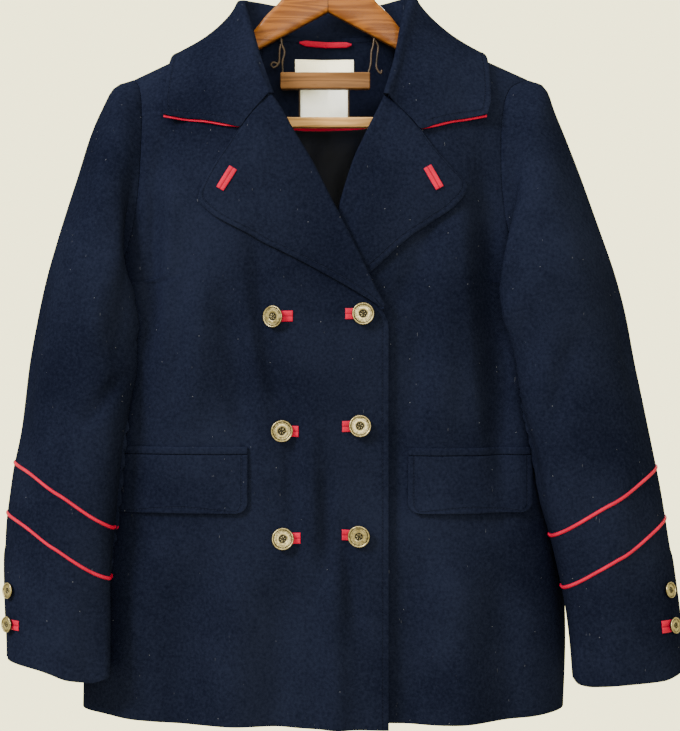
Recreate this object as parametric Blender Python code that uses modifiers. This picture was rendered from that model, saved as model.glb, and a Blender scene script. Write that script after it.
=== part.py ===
"""A navy double-breasted wool coat that hangs on a wooden hanger.

Sizes are in metres. X runs across the coat, -Y is its front and +Z is up. The origin is
the inside top of the hanger's hook. "Right" in a name is the wearer's right, at -X.
"""

import math
from collections import namedtuple

import bmesh
import bpy
from mathutils import Vector

# Cloth and seams
CLOTH = 0.0025
SEAM = 0.00016
SIDE_GAP = 0.0006
SHOULDER_GAP = 0.0017
LAYER_GAP = 0.0004
PANEL_GAP = 0.0010
UNDERCOLLAR = 0.0012

# The body is a flattened oval tube that closes to a ridge at the shoulders.
SQUARE = 2.7
OPEN_DEPTH = 0.17
OPEN_ROUND = 1.7
NECK_X = 0.0925
NECK_Z = -0.1390
SHOULDER_LEFT_X = 0.2185
SHOULDER_RIGHT_X = -0.2120
SHOULDER_Z = -0.1955
BACK_NECK_Z = -0.1465
ARMPIT_Z = -0.420
FRONT_EDGE_X = 0.0640
UNDER_EDGE_X = -0.0780
HEM_FRONT_Z = -0.8840
HEM_SIDE_Z = -0.8770

# The top front lies above the under front where they cross.
TOP_LIFT = 0.0020
UNDER_LIFT = -0.0066
LAPEL_FOLD = 0.0022

FRONT = -1
BACK = 1

Body = namedtuple("Body", "z right left front back")
BODY = (
    Body(-0.890, -0.2668, 0.2555, 0.076, 0.050),
    Body(-0.800, -0.2650, 0.2585, 0.074, 0.050),
    Body(-0.700, -0.2590, 0.2540, 0.072, 0.049),
    Body(-0.600, -0.2510, 0.2430, 0.071, 0.048),
    Body(-0.500, -0.2435, 0.2310, 0.071, 0.048),
    Body(-0.420, -0.2380, 0.2220, 0.071, 0.049),
    Body(-0.340, -0.2370, 0.2200, 0.070, 0.050),
    Body(-0.240, -0.2400, 0.2280, 0.069, 0.050),
    Body(-0.100, -0.2460, 0.2380, 0.068, 0.048),
)

Armhole = namedtuple("Armhole", "z right left")
ARMHOLE = (
    Armhole(-0.4200, -0.2380, 0.2220),
    Armhole(-0.4080, -0.2270, 0.2110),
    Armhole(-0.3850, -0.2140, 0.1990),
    Armhole(-0.3440, -0.2040, 0.1880),
    Armhole(-0.3000, -0.2000, 0.1845),
    Armhole(-0.2620, -0.1992, 0.1850),
    Armhole(-0.2294, -0.2005, 0.1890),
    Armhole(-0.2075, -0.2045, 0.1980),
    Armhole(-0.1955, -0.2120, 0.2185),
)

Fold = namedtuple("Fold", "face x_top z_top x_low z_low width rise")
FOLDS = (
    Fold(FRONT, -0.178, -0.290, -0.196, -0.500, 0.012, -0.006),
    Fold(FRONT, 0.168, -0.240, 0.182, -0.640, 0.018, -0.011),
    Fold(FRONT, -0.060, -0.240, -0.046, -0.560, 0.016, -0.004),
    Fold(FRONT, -0.104, -0.300, -0.085, -0.600, 0.018, -0.004),
    Fold(FRONT, -0.135, -0.330, -0.150, -0.890, 0.026, 0.005),
    Fold(FRONT, 0.122, -0.300, 0.150, -0.890, 0.030, 0.005),
    Fold(FRONT, -0.018, -0.500, -0.010, -0.890, 0.016, 0.004),
    Fold(BACK, -0.120, -0.250, -0.160, -0.890, 0.030, 0.007),
    Fold(BACK, 0.110, -0.270, 0.150, -0.890, 0.028, 0.006),
    Fold(BACK, -0.030, -0.400, -0.050, -0.890, 0.030, 0.005),
    Fold(BACK, 0.045, -0.300, 0.055, -0.890, 0.024, -0.005),
)

# Rings down each sleeve. Row 0 is the armhole; x is for the right sleeve, +X outwards
# from the body on both, so that one table shape serves both sides.
Ring = namedtuple("Ring", "at out_x out_z in_x in_z mid_y half_y lean tuck")
RIGHT_SLEEVE = (
    Ring(0.03, 0.2290, -0.2045, 0.2430, -0.4210, 0.000, 0.049, 0.000, -0.026),
    Ring(0.09, 0.2505, -0.2394, 0.2230, -0.4290, -0.006, 0.057, 0.006, -0.020),
    Ring(0.18, 0.2730, -0.3077, 0.2020, -0.4420, -0.012, 0.063, 0.010, -0.014),
    Ring(0.27, 0.2936, -0.3734, 0.1960, -0.4620, -0.018, 0.065, 0.014, -0.004),
    Ring(0.37, 0.3108, -0.4378, 0.2005, -0.4920, -0.020, 0.062, 0.016, 0.000),
    Ring(0.47, 0.3230, -0.5100, 0.2035, -0.5350, -0.026, 0.058, 0.018, 0.000),
    Ring(0.56, 0.3290, -0.5700, 0.2080, -0.5850, -0.033, 0.053, 0.018, 0.000),
    Ring(0.65, 0.3375, -0.6250, 0.2125, -0.6380, -0.042, 0.048, 0.016, 0.000),
    Ring(0.76, 0.3425, -0.6900, 0.2190, -0.7000, -0.052, 0.043, 0.014, 0.000),
    Ring(0.88, 0.3435, -0.7580, 0.2245, -0.7660, -0.061, 0.038, 0.011, 0.000),
    Ring(1.00, 0.3423, -0.8190, 0.2275, -0.8280, -0.067, 0.034, 0.009, 0.000),
)
LEFT_SLEEVE = (
    Ring(0.03, 0.2330, -0.2045, 0.2270, -0.4210, 0.000, 0.049, 0.000, -0.024),
    Ring(0.09, 0.2500, -0.2394, 0.2080, -0.4290, -0.006, 0.057, 0.006, -0.016),
    Ring(0.18, 0.2740, -0.3020, 0.1860, -0.4420, -0.012, 0.063, 0.010, -0.012),
    Ring(0.27, 0.2994, -0.3734, 0.1770, -0.4620, -0.018, 0.065, 0.014, -0.004),
    Ring(0.37, 0.3190, -0.4378, 0.1826, -0.4950, -0.020, 0.062, 0.014, 0.000),
    Ring(0.47, 0.3330, -0.5100, 0.1925, -0.5450, -0.026, 0.058, 0.016, 0.000),
    Ring(0.56, 0.3440, -0.5700, 0.2080, -0.5900, -0.033, 0.053, 0.016, 0.000),
    Ring(0.65, 0.3545, -0.6300, 0.2220, -0.6430, -0.040, 0.048, 0.014, 0.000),
    Ring(0.76, 0.3637, -0.6945, 0.2360, -0.7000, -0.048, 0.043, 0.012, 0.000),
    Ring(0.88, 0.3710, -0.7600, 0.2465, -0.7700, -0.056, 0.038, 0.010, 0.000),
    Ring(1.00, 0.3765, -0.8240, 0.2515, -0.8340, -0.062, 0.034, 0.008, 0.000),
)
RING_POWER = 2.2
OUTER_SEAM = math.radians(-12)
INNER_SEAM = math.radians(204)
SLEEVE_CLEARANCE = 0.0060
VENT_HEIGHT = 0.107
VENT_TURN = math.radians(14)
VENT_LIFT = 0.0034
ARMHOLE_GAP = 0.0008
ARMHOLE_GAP_TOP = 0.0029
ARMHOLE_TURNS = (math.radians(40), math.radians(120))
SLEEVE_GAP = 0.0009

# Collar rows from the gorge (0) over the shoulder (0.48) to the centre of the back (1).
# The seam is where the stand is sewn to the neck; facing is the way its outside looks.
Collar = namedtuple("Collar", "at roll_x roll_y roll_z edge_x edge_y edge_z seam_x seam_z facing")
COLLAR_RIGHT = (
    Collar(0.00, 0.0565, -0.0660, -0.2225, 0.1740, -0.053, -0.2420, 0.0640, -0.2268, -90),
    Collar(0.16, 0.0690, -0.0490, -0.1860, 0.1745, -0.044, -0.2240, 0.0757, -0.1880, -75),
    Collar(0.32, 0.0830, -0.0280, -0.1400, 0.1725, -0.028, -0.1970, 0.0868, -0.1540, -55),
    Collar(0.48, 0.0935, 0.0020, -0.1080, 0.1680, 0.002, -0.1680, 0.0925, -0.1390, 0),
    Collar(0.66, 0.0770, 0.0330, -0.1025, 0.1400, 0.052, -0.1760, 0.0790, -0.1418, 55),
    Collar(0.84, 0.0420, 0.0460, -0.1045, 0.0780, 0.056, -0.1840, 0.0420, -0.1458, 80),
    Collar(1.00, 0.0000, 0.0490, -0.1055, 0.0000, 0.056, -0.1860, 0.0000, -0.1465, 90),
)
COLLAR_LEFT = (
    Collar(0.00, 0.0595, -0.0660, -0.2225, 0.1690, -0.053, -0.2420, 0.0665, -0.2268, -90),
    Collar(0.16, 0.0700, -0.0490, -0.1860, 0.1735, -0.044, -0.2240, 0.0767, -0.1880, -75),
    Collar(0.32, 0.0790, -0.0280, -0.1400, 0.1740, -0.028, -0.1970, 0.0868, -0.1540, -55),
    Collar(0.48, 0.0900, 0.0020, -0.1030, 0.1700, 0.002, -0.1670, 0.0925, -0.1390, 0),
    Collar(0.66, 0.0770, 0.0330, -0.1000, 0.1400, 0.052, -0.1760, 0.0790, -0.1418, 55),
    Collar(0.84, 0.0420, 0.0460, -0.1040, 0.0780, 0.056, -0.1840, 0.0420, -0.1458, 80),
    Collar(1.00, 0.0000, 0.0490, -0.1055, 0.0000, 0.056, -0.1860, 0.0000, -0.1465, 90),
)
ROLL_RADIUS = 0.0052
NOTCH_SHARE = 0.37
COLLAR_OUT = 0.0070
NECK_SIDE = 0.48
PROFILE_STEPS = 24
SEAM_SHIFT = 0.0032
SEAM_RISE = 0.0024
UNDERCOLLAR_SHOWS = 0.0017
UNDERCOLLAR_START = 4

# Lapel rows from the gorge to the break, seen from the front.
Lapel = namedtuple("Lapel", "at roll_x roll_z edge_x edge_z")
RIGHT_LAPEL = (
    Lapel(0.00, -0.0565, -0.2285, -0.0920, -0.2615),
    Lapel(0.10, -0.0465, -0.2440, -0.1060, -0.2820),
    Lapel(0.22, -0.0380, -0.2600, -0.1235, -0.3080),
    Lapel(0.32, -0.0285, -0.2760, -0.1345, -0.3330),
    Lapel(0.42, -0.0165, -0.2960, -0.1220, -0.3480),
    Lapel(0.56, 0.0060, -0.3400, -0.0700, -0.3770),
    Lapel(0.70, 0.0245, -0.3750, -0.0130, -0.4070),
    Lapel(0.84, 0.0430, -0.4110, 0.0330, -0.4330),
    Lapel(0.94, 0.0560, -0.4370, 0.0530, -0.4460),
    Lapel(1.00, 0.0630, -0.4510, 0.0605, -0.4530),
)
LEFT_LAPEL = (
    Lapel(0.00, 0.0580, -0.2290, 0.0985, -0.2620),
    Lapel(0.10, 0.0520, -0.2420, 0.1120, -0.2810),
    Lapel(0.22, 0.0440, -0.2580, 0.1310, -0.3030),
    Lapel(0.32, 0.0370, -0.2730, 0.1455, -0.3210),
    Lapel(0.42, 0.0290, -0.2900, 0.1345, -0.3400),
    Lapel(0.56, 0.0150, -0.3330, 0.0890, -0.3710),
    Lapel(0.70, 0.0060, -0.3680, 0.0480, -0.4080),
    Lapel(0.84, -0.0060, -0.4080, 0.0160, -0.4350),
    Lapel(1.00, -0.0180, -0.4480, -0.0080, -0.4530),
)
LAPEL_OUT = LAPEL_FOLD + CLOTH
ROLL_SETBACK = 0.0052

# The fronts' neck edge above the gorge
Edge = namedtuple("Edge", "z x")
NECK_EDGE = (
    Edge(-0.1900, 0.0765),
    Edge(-0.1600, 0.0868),
    Edge(-0.1390, 0.0925),
)

# Pocket flaps and welts
Pocket = namedtuple("Pocket", "side inner_x outer_x top_z bottom_z gap")
POCKETS = (
    Pocket("right", -0.0830, -0.2280, -0.6015, -0.6625, 0.0008),
    Pocket("left", 0.0850, 0.2150, -0.6030, -0.6630, 0.0018),
)
FLAP_CORNER = 0.012
FLAP_CLOTH = 0.0026
WELT_HEIGHT = 0.0088
WELT_CLOTH = 0.0020

# Fastenings
BUTTON_R = 0.0115
BUTTON_STAND = 0.0023
SHANK_R = 0.0030
SHANK_HEIGHT = 0.0016
CUFF_BUTTON_R = 0.0083
Spot = namedtuple("Spot", "name x z turn")
FRONT_BUTTONS = (
    Spot("right_top", -0.0545, -0.4567, 4),
    Spot("right_middle", -0.0483, -0.5762, -6),
    Spot("right_low", -0.0462, -0.6885, 12),
    Spot("left_top", 0.0370, -0.4540, 0),
    Spot("left_middle", 0.0338, -0.5710, 8),
    Spot("left_low", 0.0333, -0.6854, -10),
)
HOLE_HEIGHT = 0.0115
HOLE_CLOTH = 0.0009
CUFF_HOLE_GAP = 0.0001
LAPEL_HOLE_LENGTH = 0.0255
LAPEL_HOLE_WIDTH = 0.0085
Placket = namedtuple("Placket", "side x z lean")
LAPEL_HOLES = (
    Placket("right", -0.1040, -0.3135, 32),
    Placket("left", 0.1105, -0.3120, -30),
)
HOLE_BACK = -0.0050
HOLE_FRONT = 0.0185
CUFF_BUTTONS = (("high", -0.7475), ("low", -0.7830))
CUFF_BUTTON_TURN = math.radians(22)

# Sleeve piping: height where it leaves the outer seam and where it meets the inner one
PIPING_WIDTH = 0.0042
PIPING_RISE = 0.0016
PIPING_WALL = 0.0005
PIPING_GAP = 0.0004
PIPING_END_GAP = 0.0026
PIPING_STEPS = 16
Piping = namedtuple("Piping", "name out_z in_z bow")
RIGHT_PIPING = (
    Piping("upper", -0.6110, -0.6780, 0.04),
    Piping("lower", -0.6635, -0.7296, 0.04),
)
LEFT_PIPING = (
    Piping("upper", -0.6154, -0.6862, 0.01),
    Piping("lower", -0.6687, -0.7400, 0.03),
)

# What shows inside the neck
FACING_HALF = 0.080
FACING_LOW_Z = -0.2435
FACING_SIDE_Z = -0.2330
FACING_CLOTH = 0.0012
LABEL_CLOTH = 0.0006
LINING_CLOTH = 0.0010
LINING_LOW_Z = -0.845
LOOP_WIDTH = 0.0600
LOOP_HEIGHT = 0.0085
LOOP_CLOTH = 0.0012
LOOP_X = -0.0030
LOOP_BOW = 0.0014
LOOP_OUT = 0.0010
LOOP_Z = -0.1500
FACING_LOW_X = -0.0060
FACING_PIPING = 0.0010
FACING_GAP = 0.0018
LINING_MARGIN = 0.060
LINING_GAP = 0.0021
LINING_TOP_SHARE = 0.80
LINING_TOP_GAP = 0.0012

# Hanger
Arm = namedtuple("Arm", "x top bottom half_y")
ARM = (
    Arm(0.0000, -0.0700, -0.1220, 0.0065),
    Arm(0.0180, -0.0730, -0.1317, 0.0065),
    Arm(0.0350, -0.0870, -0.1409, 0.0065),
    Arm(0.0531, -0.1110, -0.1507, 0.0065),
    Arm(0.0684, -0.1265, -0.1589, 0.0062),
    Arm(0.0780, -0.1385, -0.1638, 0.0055),
    Arm(0.0870, -0.1470, -0.1682, 0.0050),
    Arm(0.1200, -0.1578, -0.1820, 0.0055),
    Arm(0.1600, -0.1766, -0.1975, 0.0052),
    Arm(0.1860, -0.1897, -0.2060, 0.0048),
)
HOOK_WIRE = 0.00175
HOOK_R = 0.0210
Bar = namedtuple("Bar", "name half_top half_bottom top bottom centre")
BARS = (
    Bar("upper", 0.0490, 0.0490, -0.1880, -0.2060, -0.0030),
    Bar("lower", 0.0490, 0.0435, -0.2370, -0.2480, 0.0020),
)
BAR_HALF_Y = 0.0055
WIRE_R = 0.0008
ARM_ROUND = 0.0025
BAR_WIRES = (
    ("bar_wire_right", (
        (-0.0515, 0.0000, -0.1503),
        (-0.0500, 0.0000, -0.1580),
        (-0.0475, 0.0000, -0.1650),
        (-0.0480, 0.0000, -0.1690),
        (-0.0500, 0.0000, -0.1760),
        (-0.0495, 0.0000, -0.1876),
    )),
    ("bar_hook_right", (
        (-0.0505, 0.0020, -0.1506),
        (-0.0530, 0.0020, -0.1640),
        (-0.0535, 0.0020, -0.1740),
        (-0.0560, 0.0020, -0.1795),
        (-0.0600, 0.0020, -0.1815),
        (-0.0625, 0.0020, -0.1785),
        (-0.0600, 0.0020, -0.1760),
        (-0.0550, 0.0020, -0.1775),
    )),
    ("bar_wire_left", (
        (0.0505, 0.0000, -0.1498),
        (0.0490, 0.0000, -0.1600),
        (0.0475, 0.0000, -0.1650),
        (0.0470, 0.0000, -0.1760),
        (0.0445, 0.0000, -0.1876),
    )),
    ("bar_hook_left", (
        (0.0515, 0.0020, -0.1512),
        (0.0550, 0.0020, -0.1590),
        (0.0540, 0.0020, -0.1680),
        (0.0530, 0.0020, -0.1800),
        (0.0555, 0.0020, -0.1860),
        (0.0580, 0.0020, -0.1880),
        (0.0590, 0.0020, -0.1845),
    )),
    ("bar_link_right", ((-0.0310, 0.0, -0.2065), (-0.0310, 0.0, -0.2366))),
    ("bar_link_left", ((0.0225, 0.0, -0.2065), (0.0225, 0.0, -0.2366))),
)

Finish = namedtuple("Finish", "red green blue roughness metallic")
NAVY = Finish(0.012, 0.018, 0.042, 0.92, 0.0)
RED = Finish(0.740, 0.020, 0.040, 0.70, 0.0)
SATIN = Finish(0.008, 0.011, 0.024, 0.35, 0.0)
CREAM = Finish(0.820, 0.790, 0.700, 0.80, 0.0)
WHITE = Finish(0.880, 0.880, 0.860, 0.75, 0.0)
ANTIQUE = Finish(0.300, 0.255, 0.150, 0.40, 0.9)
WOOD = Finish(0.500, 0.250, 0.105, 0.42, 0.0)
PALE_WOOD = Finish(0.600, 0.370, 0.180, 0.50, 0.0)
STEEL = Finish(0.550, 0.550, 0.560, 0.25, 1.0)
BRASS_WIRE = Finish(0.300, 0.230, 0.150, 0.35, 1.0)

LABELS = (
    ("label_cream", -0.0376, 0.0289, -0.1660, -0.1860, CREAM),
    ("label_white", -0.0319, 0.0221, -0.1935, -0.2370, WHITE),
)


def clear_scene():
    """Removes every object that the file opened with."""
    for found in list(bpy.data.objects):
        bpy.data.objects.remove(found, do_unlink=True)


def eased(low, high, value):
    """A smooth step from 0 at low to 1 at high."""
    share = min(1.0, max(0.0, (value - low) / (high - low)))
    return share * share * (3.0 - 2.0 * share)


def mixed(first, last, share):
    """A straight mix of two numbers or vectors."""
    return first + (last - first) * share


def read(rows, key, column, at):
    """Reads one column where the key reaches a value, on a smooth curve without overshoot."""
    keys = [getattr(row, key) for row in rows]
    values = [getattr(row, column) for row in rows]
    if at <= keys[0]:
        return values[0]
    if at >= keys[-1]:
        return values[-1]
    last = next(i for i, k in enumerate(keys) if k > at)
    first = last - 1
    slopes = [(values[i + 1] - values[i]) / (keys[i + 1] - keys[i]) for i in range(len(keys) - 1)]

    def tangent(i):
        if i == 0:
            return slopes[0]
        if i == len(slopes):
            return slopes[-1]
        before = slopes[i - 1]
        after = slopes[i]
        if before * after <= 0.0:
            return 0.0
        return 2.0 * before * after / (before + after)

    span = keys[last] - keys[first]
    t = (at - keys[first]) / span
    start = values[first] * (1 + 2 * t) * (1 - t) ** 2 + tangent(first) * span * t * (1 - t) ** 2
    end = values[last] * (3 - 2 * t) * t * t - tangent(last) * span * (1 - t) * t * t
    return start + end


def shoulder_z(x):
    """Height of the shoulder seam's line above a place across the coat."""
    end = SHOULDER_LEFT_X if x > 0 else -SHOULDER_RIGHT_X
    share = (abs(x) - NECK_X) / (end - NECK_X)
    return NECK_Z + (SHOULDER_Z - NECK_Z) * share


def fold_rise(x, z, face):
    """How far the drape's folds stand out at a place on the front or back."""
    total = 0.0
    for fold in FOLDS:
        if fold.face != face or z > fold.z_top:
            continue
        down = (fold.z_top - z) / (fold.z_top - fold.z_low)
        across = x - mixed(fold.x_top, fold.x_low, down)
        ends = eased(0.0, 0.35, down)
        if fold.z_low > HEM_FRONT_Z:
            ends *= 1.0 - eased(0.7, 1.05, down)
        total += fold.rise * ends * math.exp(-((across / fold.width) ** 2))
    return total


def lift_of(piece, x, z):
    """How far a front lies above or below the plain body where the two fronts cross."""
    low = 1.0 - eased(-0.150, -0.140, z)
    if piece == "right":
        return TOP_LIFT * eased(-0.150, -0.095, x) * low
    if piece == "left":
        return UNDER_LIFT * (1.0 - eased(0.064, 0.125, x)) * low
    return 0.0


def body(x, z, piece="back"):
    """The outer face of a body panel at a place seen from the front."""
    face = BACK if piece == "back" else FRONT
    right = read(BODY, "z", "right", z)
    left = read(BODY, "z", "left", z)
    depth = read(BODY, "z", "back" if face == BACK else "front", z)
    share = min(1.0, abs(x - (left + right) / 2) / ((left - right) / 2))
    across = (1.0 - share**SQUARE) ** (1.0 / SQUARE)
    below = min(1.0, max(0.0, (shoulder_z(x) - z) / OPEN_DEPTH))
    opened = (1.0 - (1.0 - below) ** OPEN_ROUND) ** (1.0 / OPEN_ROUND)
    ends = (1.0 - share**8) * eased(0.0, 0.35, below)
    out = depth * across * opened + (fold_rise(x, z, face) + lift_of(piece, x, z)) * ends
    return Vector((x, face * out, z))


def body_normal(x, z, piece="back"):
    """The outward direction of a body panel, measured on its surface."""
    step = 0.002
    along_x = body(x + step, z, piece) - body(x - step, z, piece)
    along_z = body(x, z + step, piece) - body(x, z - step, piece)
    normal = along_x.cross(along_z).normalized()
    return -normal if piece == "back" else normal


def laid(x, z, piece, out):
    """A point on what lies on a body panel, moved out from the panel's face."""
    return body(x, z, piece) + body_normal(x, z, piece) * out


def hem_z(x):
    """Height of the hem, a little lower at the front and back than at the sides."""
    return mixed(HEM_FRONT_Z, HEM_SIDE_Z, eased(0.12, 0.265, abs(x)))


def trimmed(grid, low, high, start, end):
    """The grid with its first and last rows and columns drawn in by the given lengths.

    low may also be a list, with a length for each point of the first row.
    """
    rows = [list(row) for row in grid]
    lows = low if isinstance(low, list) else [low] * len(grid[0])

    def drawn(point, towards, length):
        way = towards - point
        if way.length < 1e-9:
            return point
        return point + way.normalized() * length

    rows[0] = [drawn(p, q, length) for p, q, length in zip(grid[0], grid[1], lows)]
    rows[-1] = [drawn(p, q, high) for p, q in zip(grid[-1], grid[-2])]
    for row in rows:
        row[0] = drawn(row[0], row[1], start)
        row[-1] = drawn(row[-1], row[-2], end)
    return rows


def finish_of(made, name, finish):
    """Gives an object its name and its own material."""
    made.name = name
    made.data.name = name
    material = bpy.data.materials.new(name)
    material.use_nodes = True
    shader = material.node_tree.nodes["Principled BSDF"]
    shader.inputs["Base Color"].default_value = (finish.red, finish.green, finish.blue, 1.0)
    shader.inputs["Roughness"].default_value = finish.roughness
    shader.inputs["Metallic"].default_value = finish.metallic
    made.data.materials.append(material)
    return made


def object_of(shape, name, finish, smooth=True):
    """Makes an object of a finished bmesh."""
    mesh = bpy.data.meshes.new(name)
    shape.to_mesh(mesh)
    shape.free()
    if smooth:
        mesh.shade_smooth()
    made = bpy.data.objects.new(name, mesh)
    bpy.context.scene.collection.objects.link(made)
    return finish_of(made, name, finish)


def sheet(name, grid, thickness, finish, outward):
    """A cloth wall: an open grid of outer points that Solidify thickens inwards.

    outward is a point on the side that the grid's outer face looks to.
    """
    rows = len(grid)
    columns = len(grid[0])
    shape = bmesh.new()
    bmesh.ops.create_grid(shape, x_segments=columns - 1, y_segments=rows - 1, size=1.0)
    shape.verts.ensure_lookup_table()
    for vertex, point in zip(shape.verts, [p for row in grid for p in row]):
        vertex.co = point
    shape.normal_update()
    middle = grid[rows // 2][columns // 2]
    shape.faces.ensure_lookup_table()
    nearest = min(shape.faces, key=lambda face: (face.calc_center_median() - middle).length)
    if nearest.normal.dot(outward - middle) < 0:
        bmesh.ops.reverse_faces(shape, faces=shape.faces)
    made = object_of(shape, name, finish)
    solid = made.modifiers.new("Solidify", "SOLIDIFY")
    solid.thickness = thickness
    solid.offset = -1.0
    solid.use_even_offset = False
    return made


# Shares from the hem to the armpit, from there to the shoulder, and from the side in:
# closest where the panel turns.
LOWER_ROWS = (0.0, 0.14, 0.28, 0.42, 0.56, 0.70, 0.84, 0.925, 0.965)
UPPER_ROWS = (0.0, 0.011, 0.0432, 0.11, 0.24, 0.38, 0.52, 0.66, 0.78, 0.87, 0.94, 0.972, 0.9891, 0.9965, 1.0)
PANEL_COLUMNS = (0.0, 0.004, 0.013, 0.032, 0.065, 0.12, 0.19, 0.27, 0.36, 0.45, 0.54, 0.63, 0.72,
                 0.81, 0.90, 1.0)
BACK_COLUMNS = (0.0, 0.0026, 0.008, 0.023, 0.06, 0.12, 0.20, 0.2776, 0.35, 0.42, 0.50, 0.58, 0.64,
                0.7073, 0.79, 0.87, 0.935, 0.977, 0.992, 0.9974, 1.0)


def front_edge(piece, z):
    """The inner edge of a front: its button edge, then just inside the roll, then the neck."""
    sign = 1.0 if piece == "right" else -1.0
    rows = RIGHT_LAPEL if piece == "right" else LEFT_LAPEL
    edge = [Edge(row.roll_z, row.roll_x - sign * ROLL_SETBACK) for row in reversed(rows)]
    edge += [Edge(row.z, -sign * row.x) for row in NECK_EDGE]
    if z >= edge[0].z:
        return read(edge, "z", "x", z)
    if piece == "right":
        return mixed(edge[0].x, FRONT_EDGE_X, eased(0.002, 0.010, edge[0].z - z))
    return mixed(edge[0].x, UNDER_EDGE_X, eased(0.006, 0.07, edge[0].z - z))


def below_armpit(across, share, first, last):
    """A place on a panel between hem and armpit, from its shares and its two side lines."""
    z = mixed(HEM_FRONT_Z, ARMPIT_Z, share)
    z += (hem_z(mixed(first(z), last(z), across)) - HEM_FRONT_Z) * (1.0 - share)
    return mixed(first(z), last(z), across), z


def build_front(piece):
    """One front from hem to shoulder, side seam to button edge and roll line."""
    top_x = SHOULDER_RIGHT_X if piece == "right" else SHOULDER_LEFT_X
    neck_x = -NECK_X if piece == "right" else NECK_X
    grid = []
    for share in LOWER_ROWS:
        row = []
        for across in PANEL_COLUMNS:
            x, z = below_armpit(
                across, share, lambda z: read(BODY, "z", piece, z), lambda z: front_edge(piece, z)
            )
            row.append(body(x, z, piece))
        grid.append(row)
    for share in UPPER_ROWS:
        row = []
        for across in PANEL_COLUMNS:
            outer_z = mixed(ARMPIT_Z, SHOULDER_Z, share)
            inner_z = mixed(ARMPIT_Z, NECK_Z, share)
            x = mixed(read(ARMHOLE, "z", piece, outer_z), front_edge(piece, inner_z), across)
            top = shoulder_z(mixed(top_x, neck_x, across))
            row.append(body(x, mixed(ARMPIT_Z, top, share), piece))
        grid.append(row)
    grid = trimmed(grid, 0.0, SHOULDER_GAP, SIDE_GAP, 0.0)
    outward = Vector((grid[9][7].x, -1.0, grid[9][7].z))
    return sheet("front_" + piece, grid, CLOTH, NAVY, outward)


def neck_z(x):
    """The back panel's top edge: the neck curve between the shoulder seams."""
    if abs(x) >= NECK_X:
        return shoulder_z(x)
    return mixed(BACK_NECK_Z, NECK_Z, (abs(x) / NECK_X) ** 3)


def back_point(across, share, upper):
    """A point of the back panel, or of what lies under it, from its shares."""
    if not upper:
        return below_armpit(
            across, share, lambda z: read(BODY, "z", "right", z), lambda z: read(BODY, "z", "left", z)
        )
    side_z = mixed(ARMPIT_Z, SHOULDER_Z, share)
    x = mixed(read(ARMHOLE, "z", "right", side_z), read(ARMHOLE, "z", "left", side_z), across)
    top_x = mixed(SHOULDER_RIGHT_X, SHOULDER_LEFT_X, across)
    return x, mixed(ARMPIT_Z, neck_z(top_x), share)


def build_back():
    """The back in one piece, from hem to shoulders and neck."""
    grid = [[body(*back_point(a, s, False)) for a in BACK_COLUMNS] for s in LOWER_ROWS]
    grid += [[body(*back_point(a, s, True)) for a in BACK_COLUMNS] for s in UPPER_ROWS]
    grid = trimmed(grid, 0.0, SHOULDER_GAP, SIDE_GAP, SIDE_GAP)
    return sheet("back", grid, CLOTH, NAVY, Vector((0.0, 1.0, -0.5)))


def armhole_point(side, turn):
    """A point round the armhole: turn 0 at the shoulder, pi at the armpit, front first."""
    share = (1.0 - math.cos(turn)) / 2.0
    z = mixed(SHOULDER_Z, ARMPIT_Z, share)
    x = read(ARMHOLE, "z", side, z)
    return body(x, z, side if math.sin(turn) >= 0 else "back")


def ring_point(row, sign, turn):
    """A point round one ring of a sleeve, from its row."""
    def power(value):
        return math.copysign(abs(value) ** (2.0 / RING_POWER), value)

    out = Vector((sign * row.out_x, row.mid_y + row.lean, row.out_z))
    inner = Vector((sign * row.in_x, row.mid_y - row.lean, row.in_z))
    centre = (out + inner) / 2.0
    long_way = (out - inner) / 2.0
    deep_way = Vector((0.0, -row.half_y, 0.0))
    tuck = Vector((sign * row.tuck, 0.0, 0.0)) * math.sin(turn) ** 2
    return centre + long_way * power(math.cos(turn)) + deep_way * power(math.sin(turn)) + tuck


def clear_of_body(point, gap):
    """Moves a sleeve point that would lie in the body out to the body's face."""
    right = read(BODY, "z", "right", point.z)
    left = read(BODY, "z", "left", point.z)
    middle = (left + right) / 2.0
    half = (left - right) / 2.0 + gap
    pivot_x = middle + math.copysign(half - 0.080, point.x - middle)
    depth = read(BODY, "z", "front" if point.y < 0 else "back", point.z) + gap + 0.001

    def inside(scale):
        x = pivot_x + (point.x - pivot_x) * scale
        y = point.y * scale
        return (abs(x - middle) / half) ** SQUARE + (abs(y) / depth) ** SQUARE - 1.0

    if inside(1.0) >= 0.0:
        return point
    low = 1.0
    high = 40.0
    for _ in range(40):
        half_way = (low + high) / 2.0
        if inside(half_way) < 0.0:
            low = half_way
        else:
            high = half_way
    return Vector((pivot_x + (point.x - pivot_x) * high, point.y * high, point.z))


Place = namedtuple("Place", "at x y z")


def sleeve_line(side, turn):
    """The points of one lengthwise line of a sleeve, row by row."""
    sign = -1.0 if side == "right" else 1.0
    rows = RIGHT_SLEEVE if side == "right" else LEFT_SLEEVE
    places = [Place(0.0, *armhole_point(side, turn))]
    for row in rows:
        places.append(Place(row.at, *ring_point(row, sign, turn)))
    return places


def sleeve(side, turn, at):
    """A point on a sleeve's outer face: turn goes round it and at goes down it."""
    line = sleeve_line(side, turn)
    point = Vector([read(line, "at", axis, at) for axis in "xyz"])
    if at <= 0.0:
        return point
    if point.z < ARMPIT_Z:
        gap = mixed(0.0028, SLEEVE_CLEARANCE, eased(0.0, 0.02, ARMPIT_Z - point.z))
        return clear_of_body(point, gap)
    if abs(point.x) < abs(read(ARMHOLE, "z", side, point.z)):
        face = body(point.x, point.z, side if point.y < 0 else "back")
        least = abs(face.y) + SLEEVE_CLEARANCE * eased(0.0, 0.04, at)
        if abs(point.y) < least:
            point.y = math.copysign(least, point.y)
    return point


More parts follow.
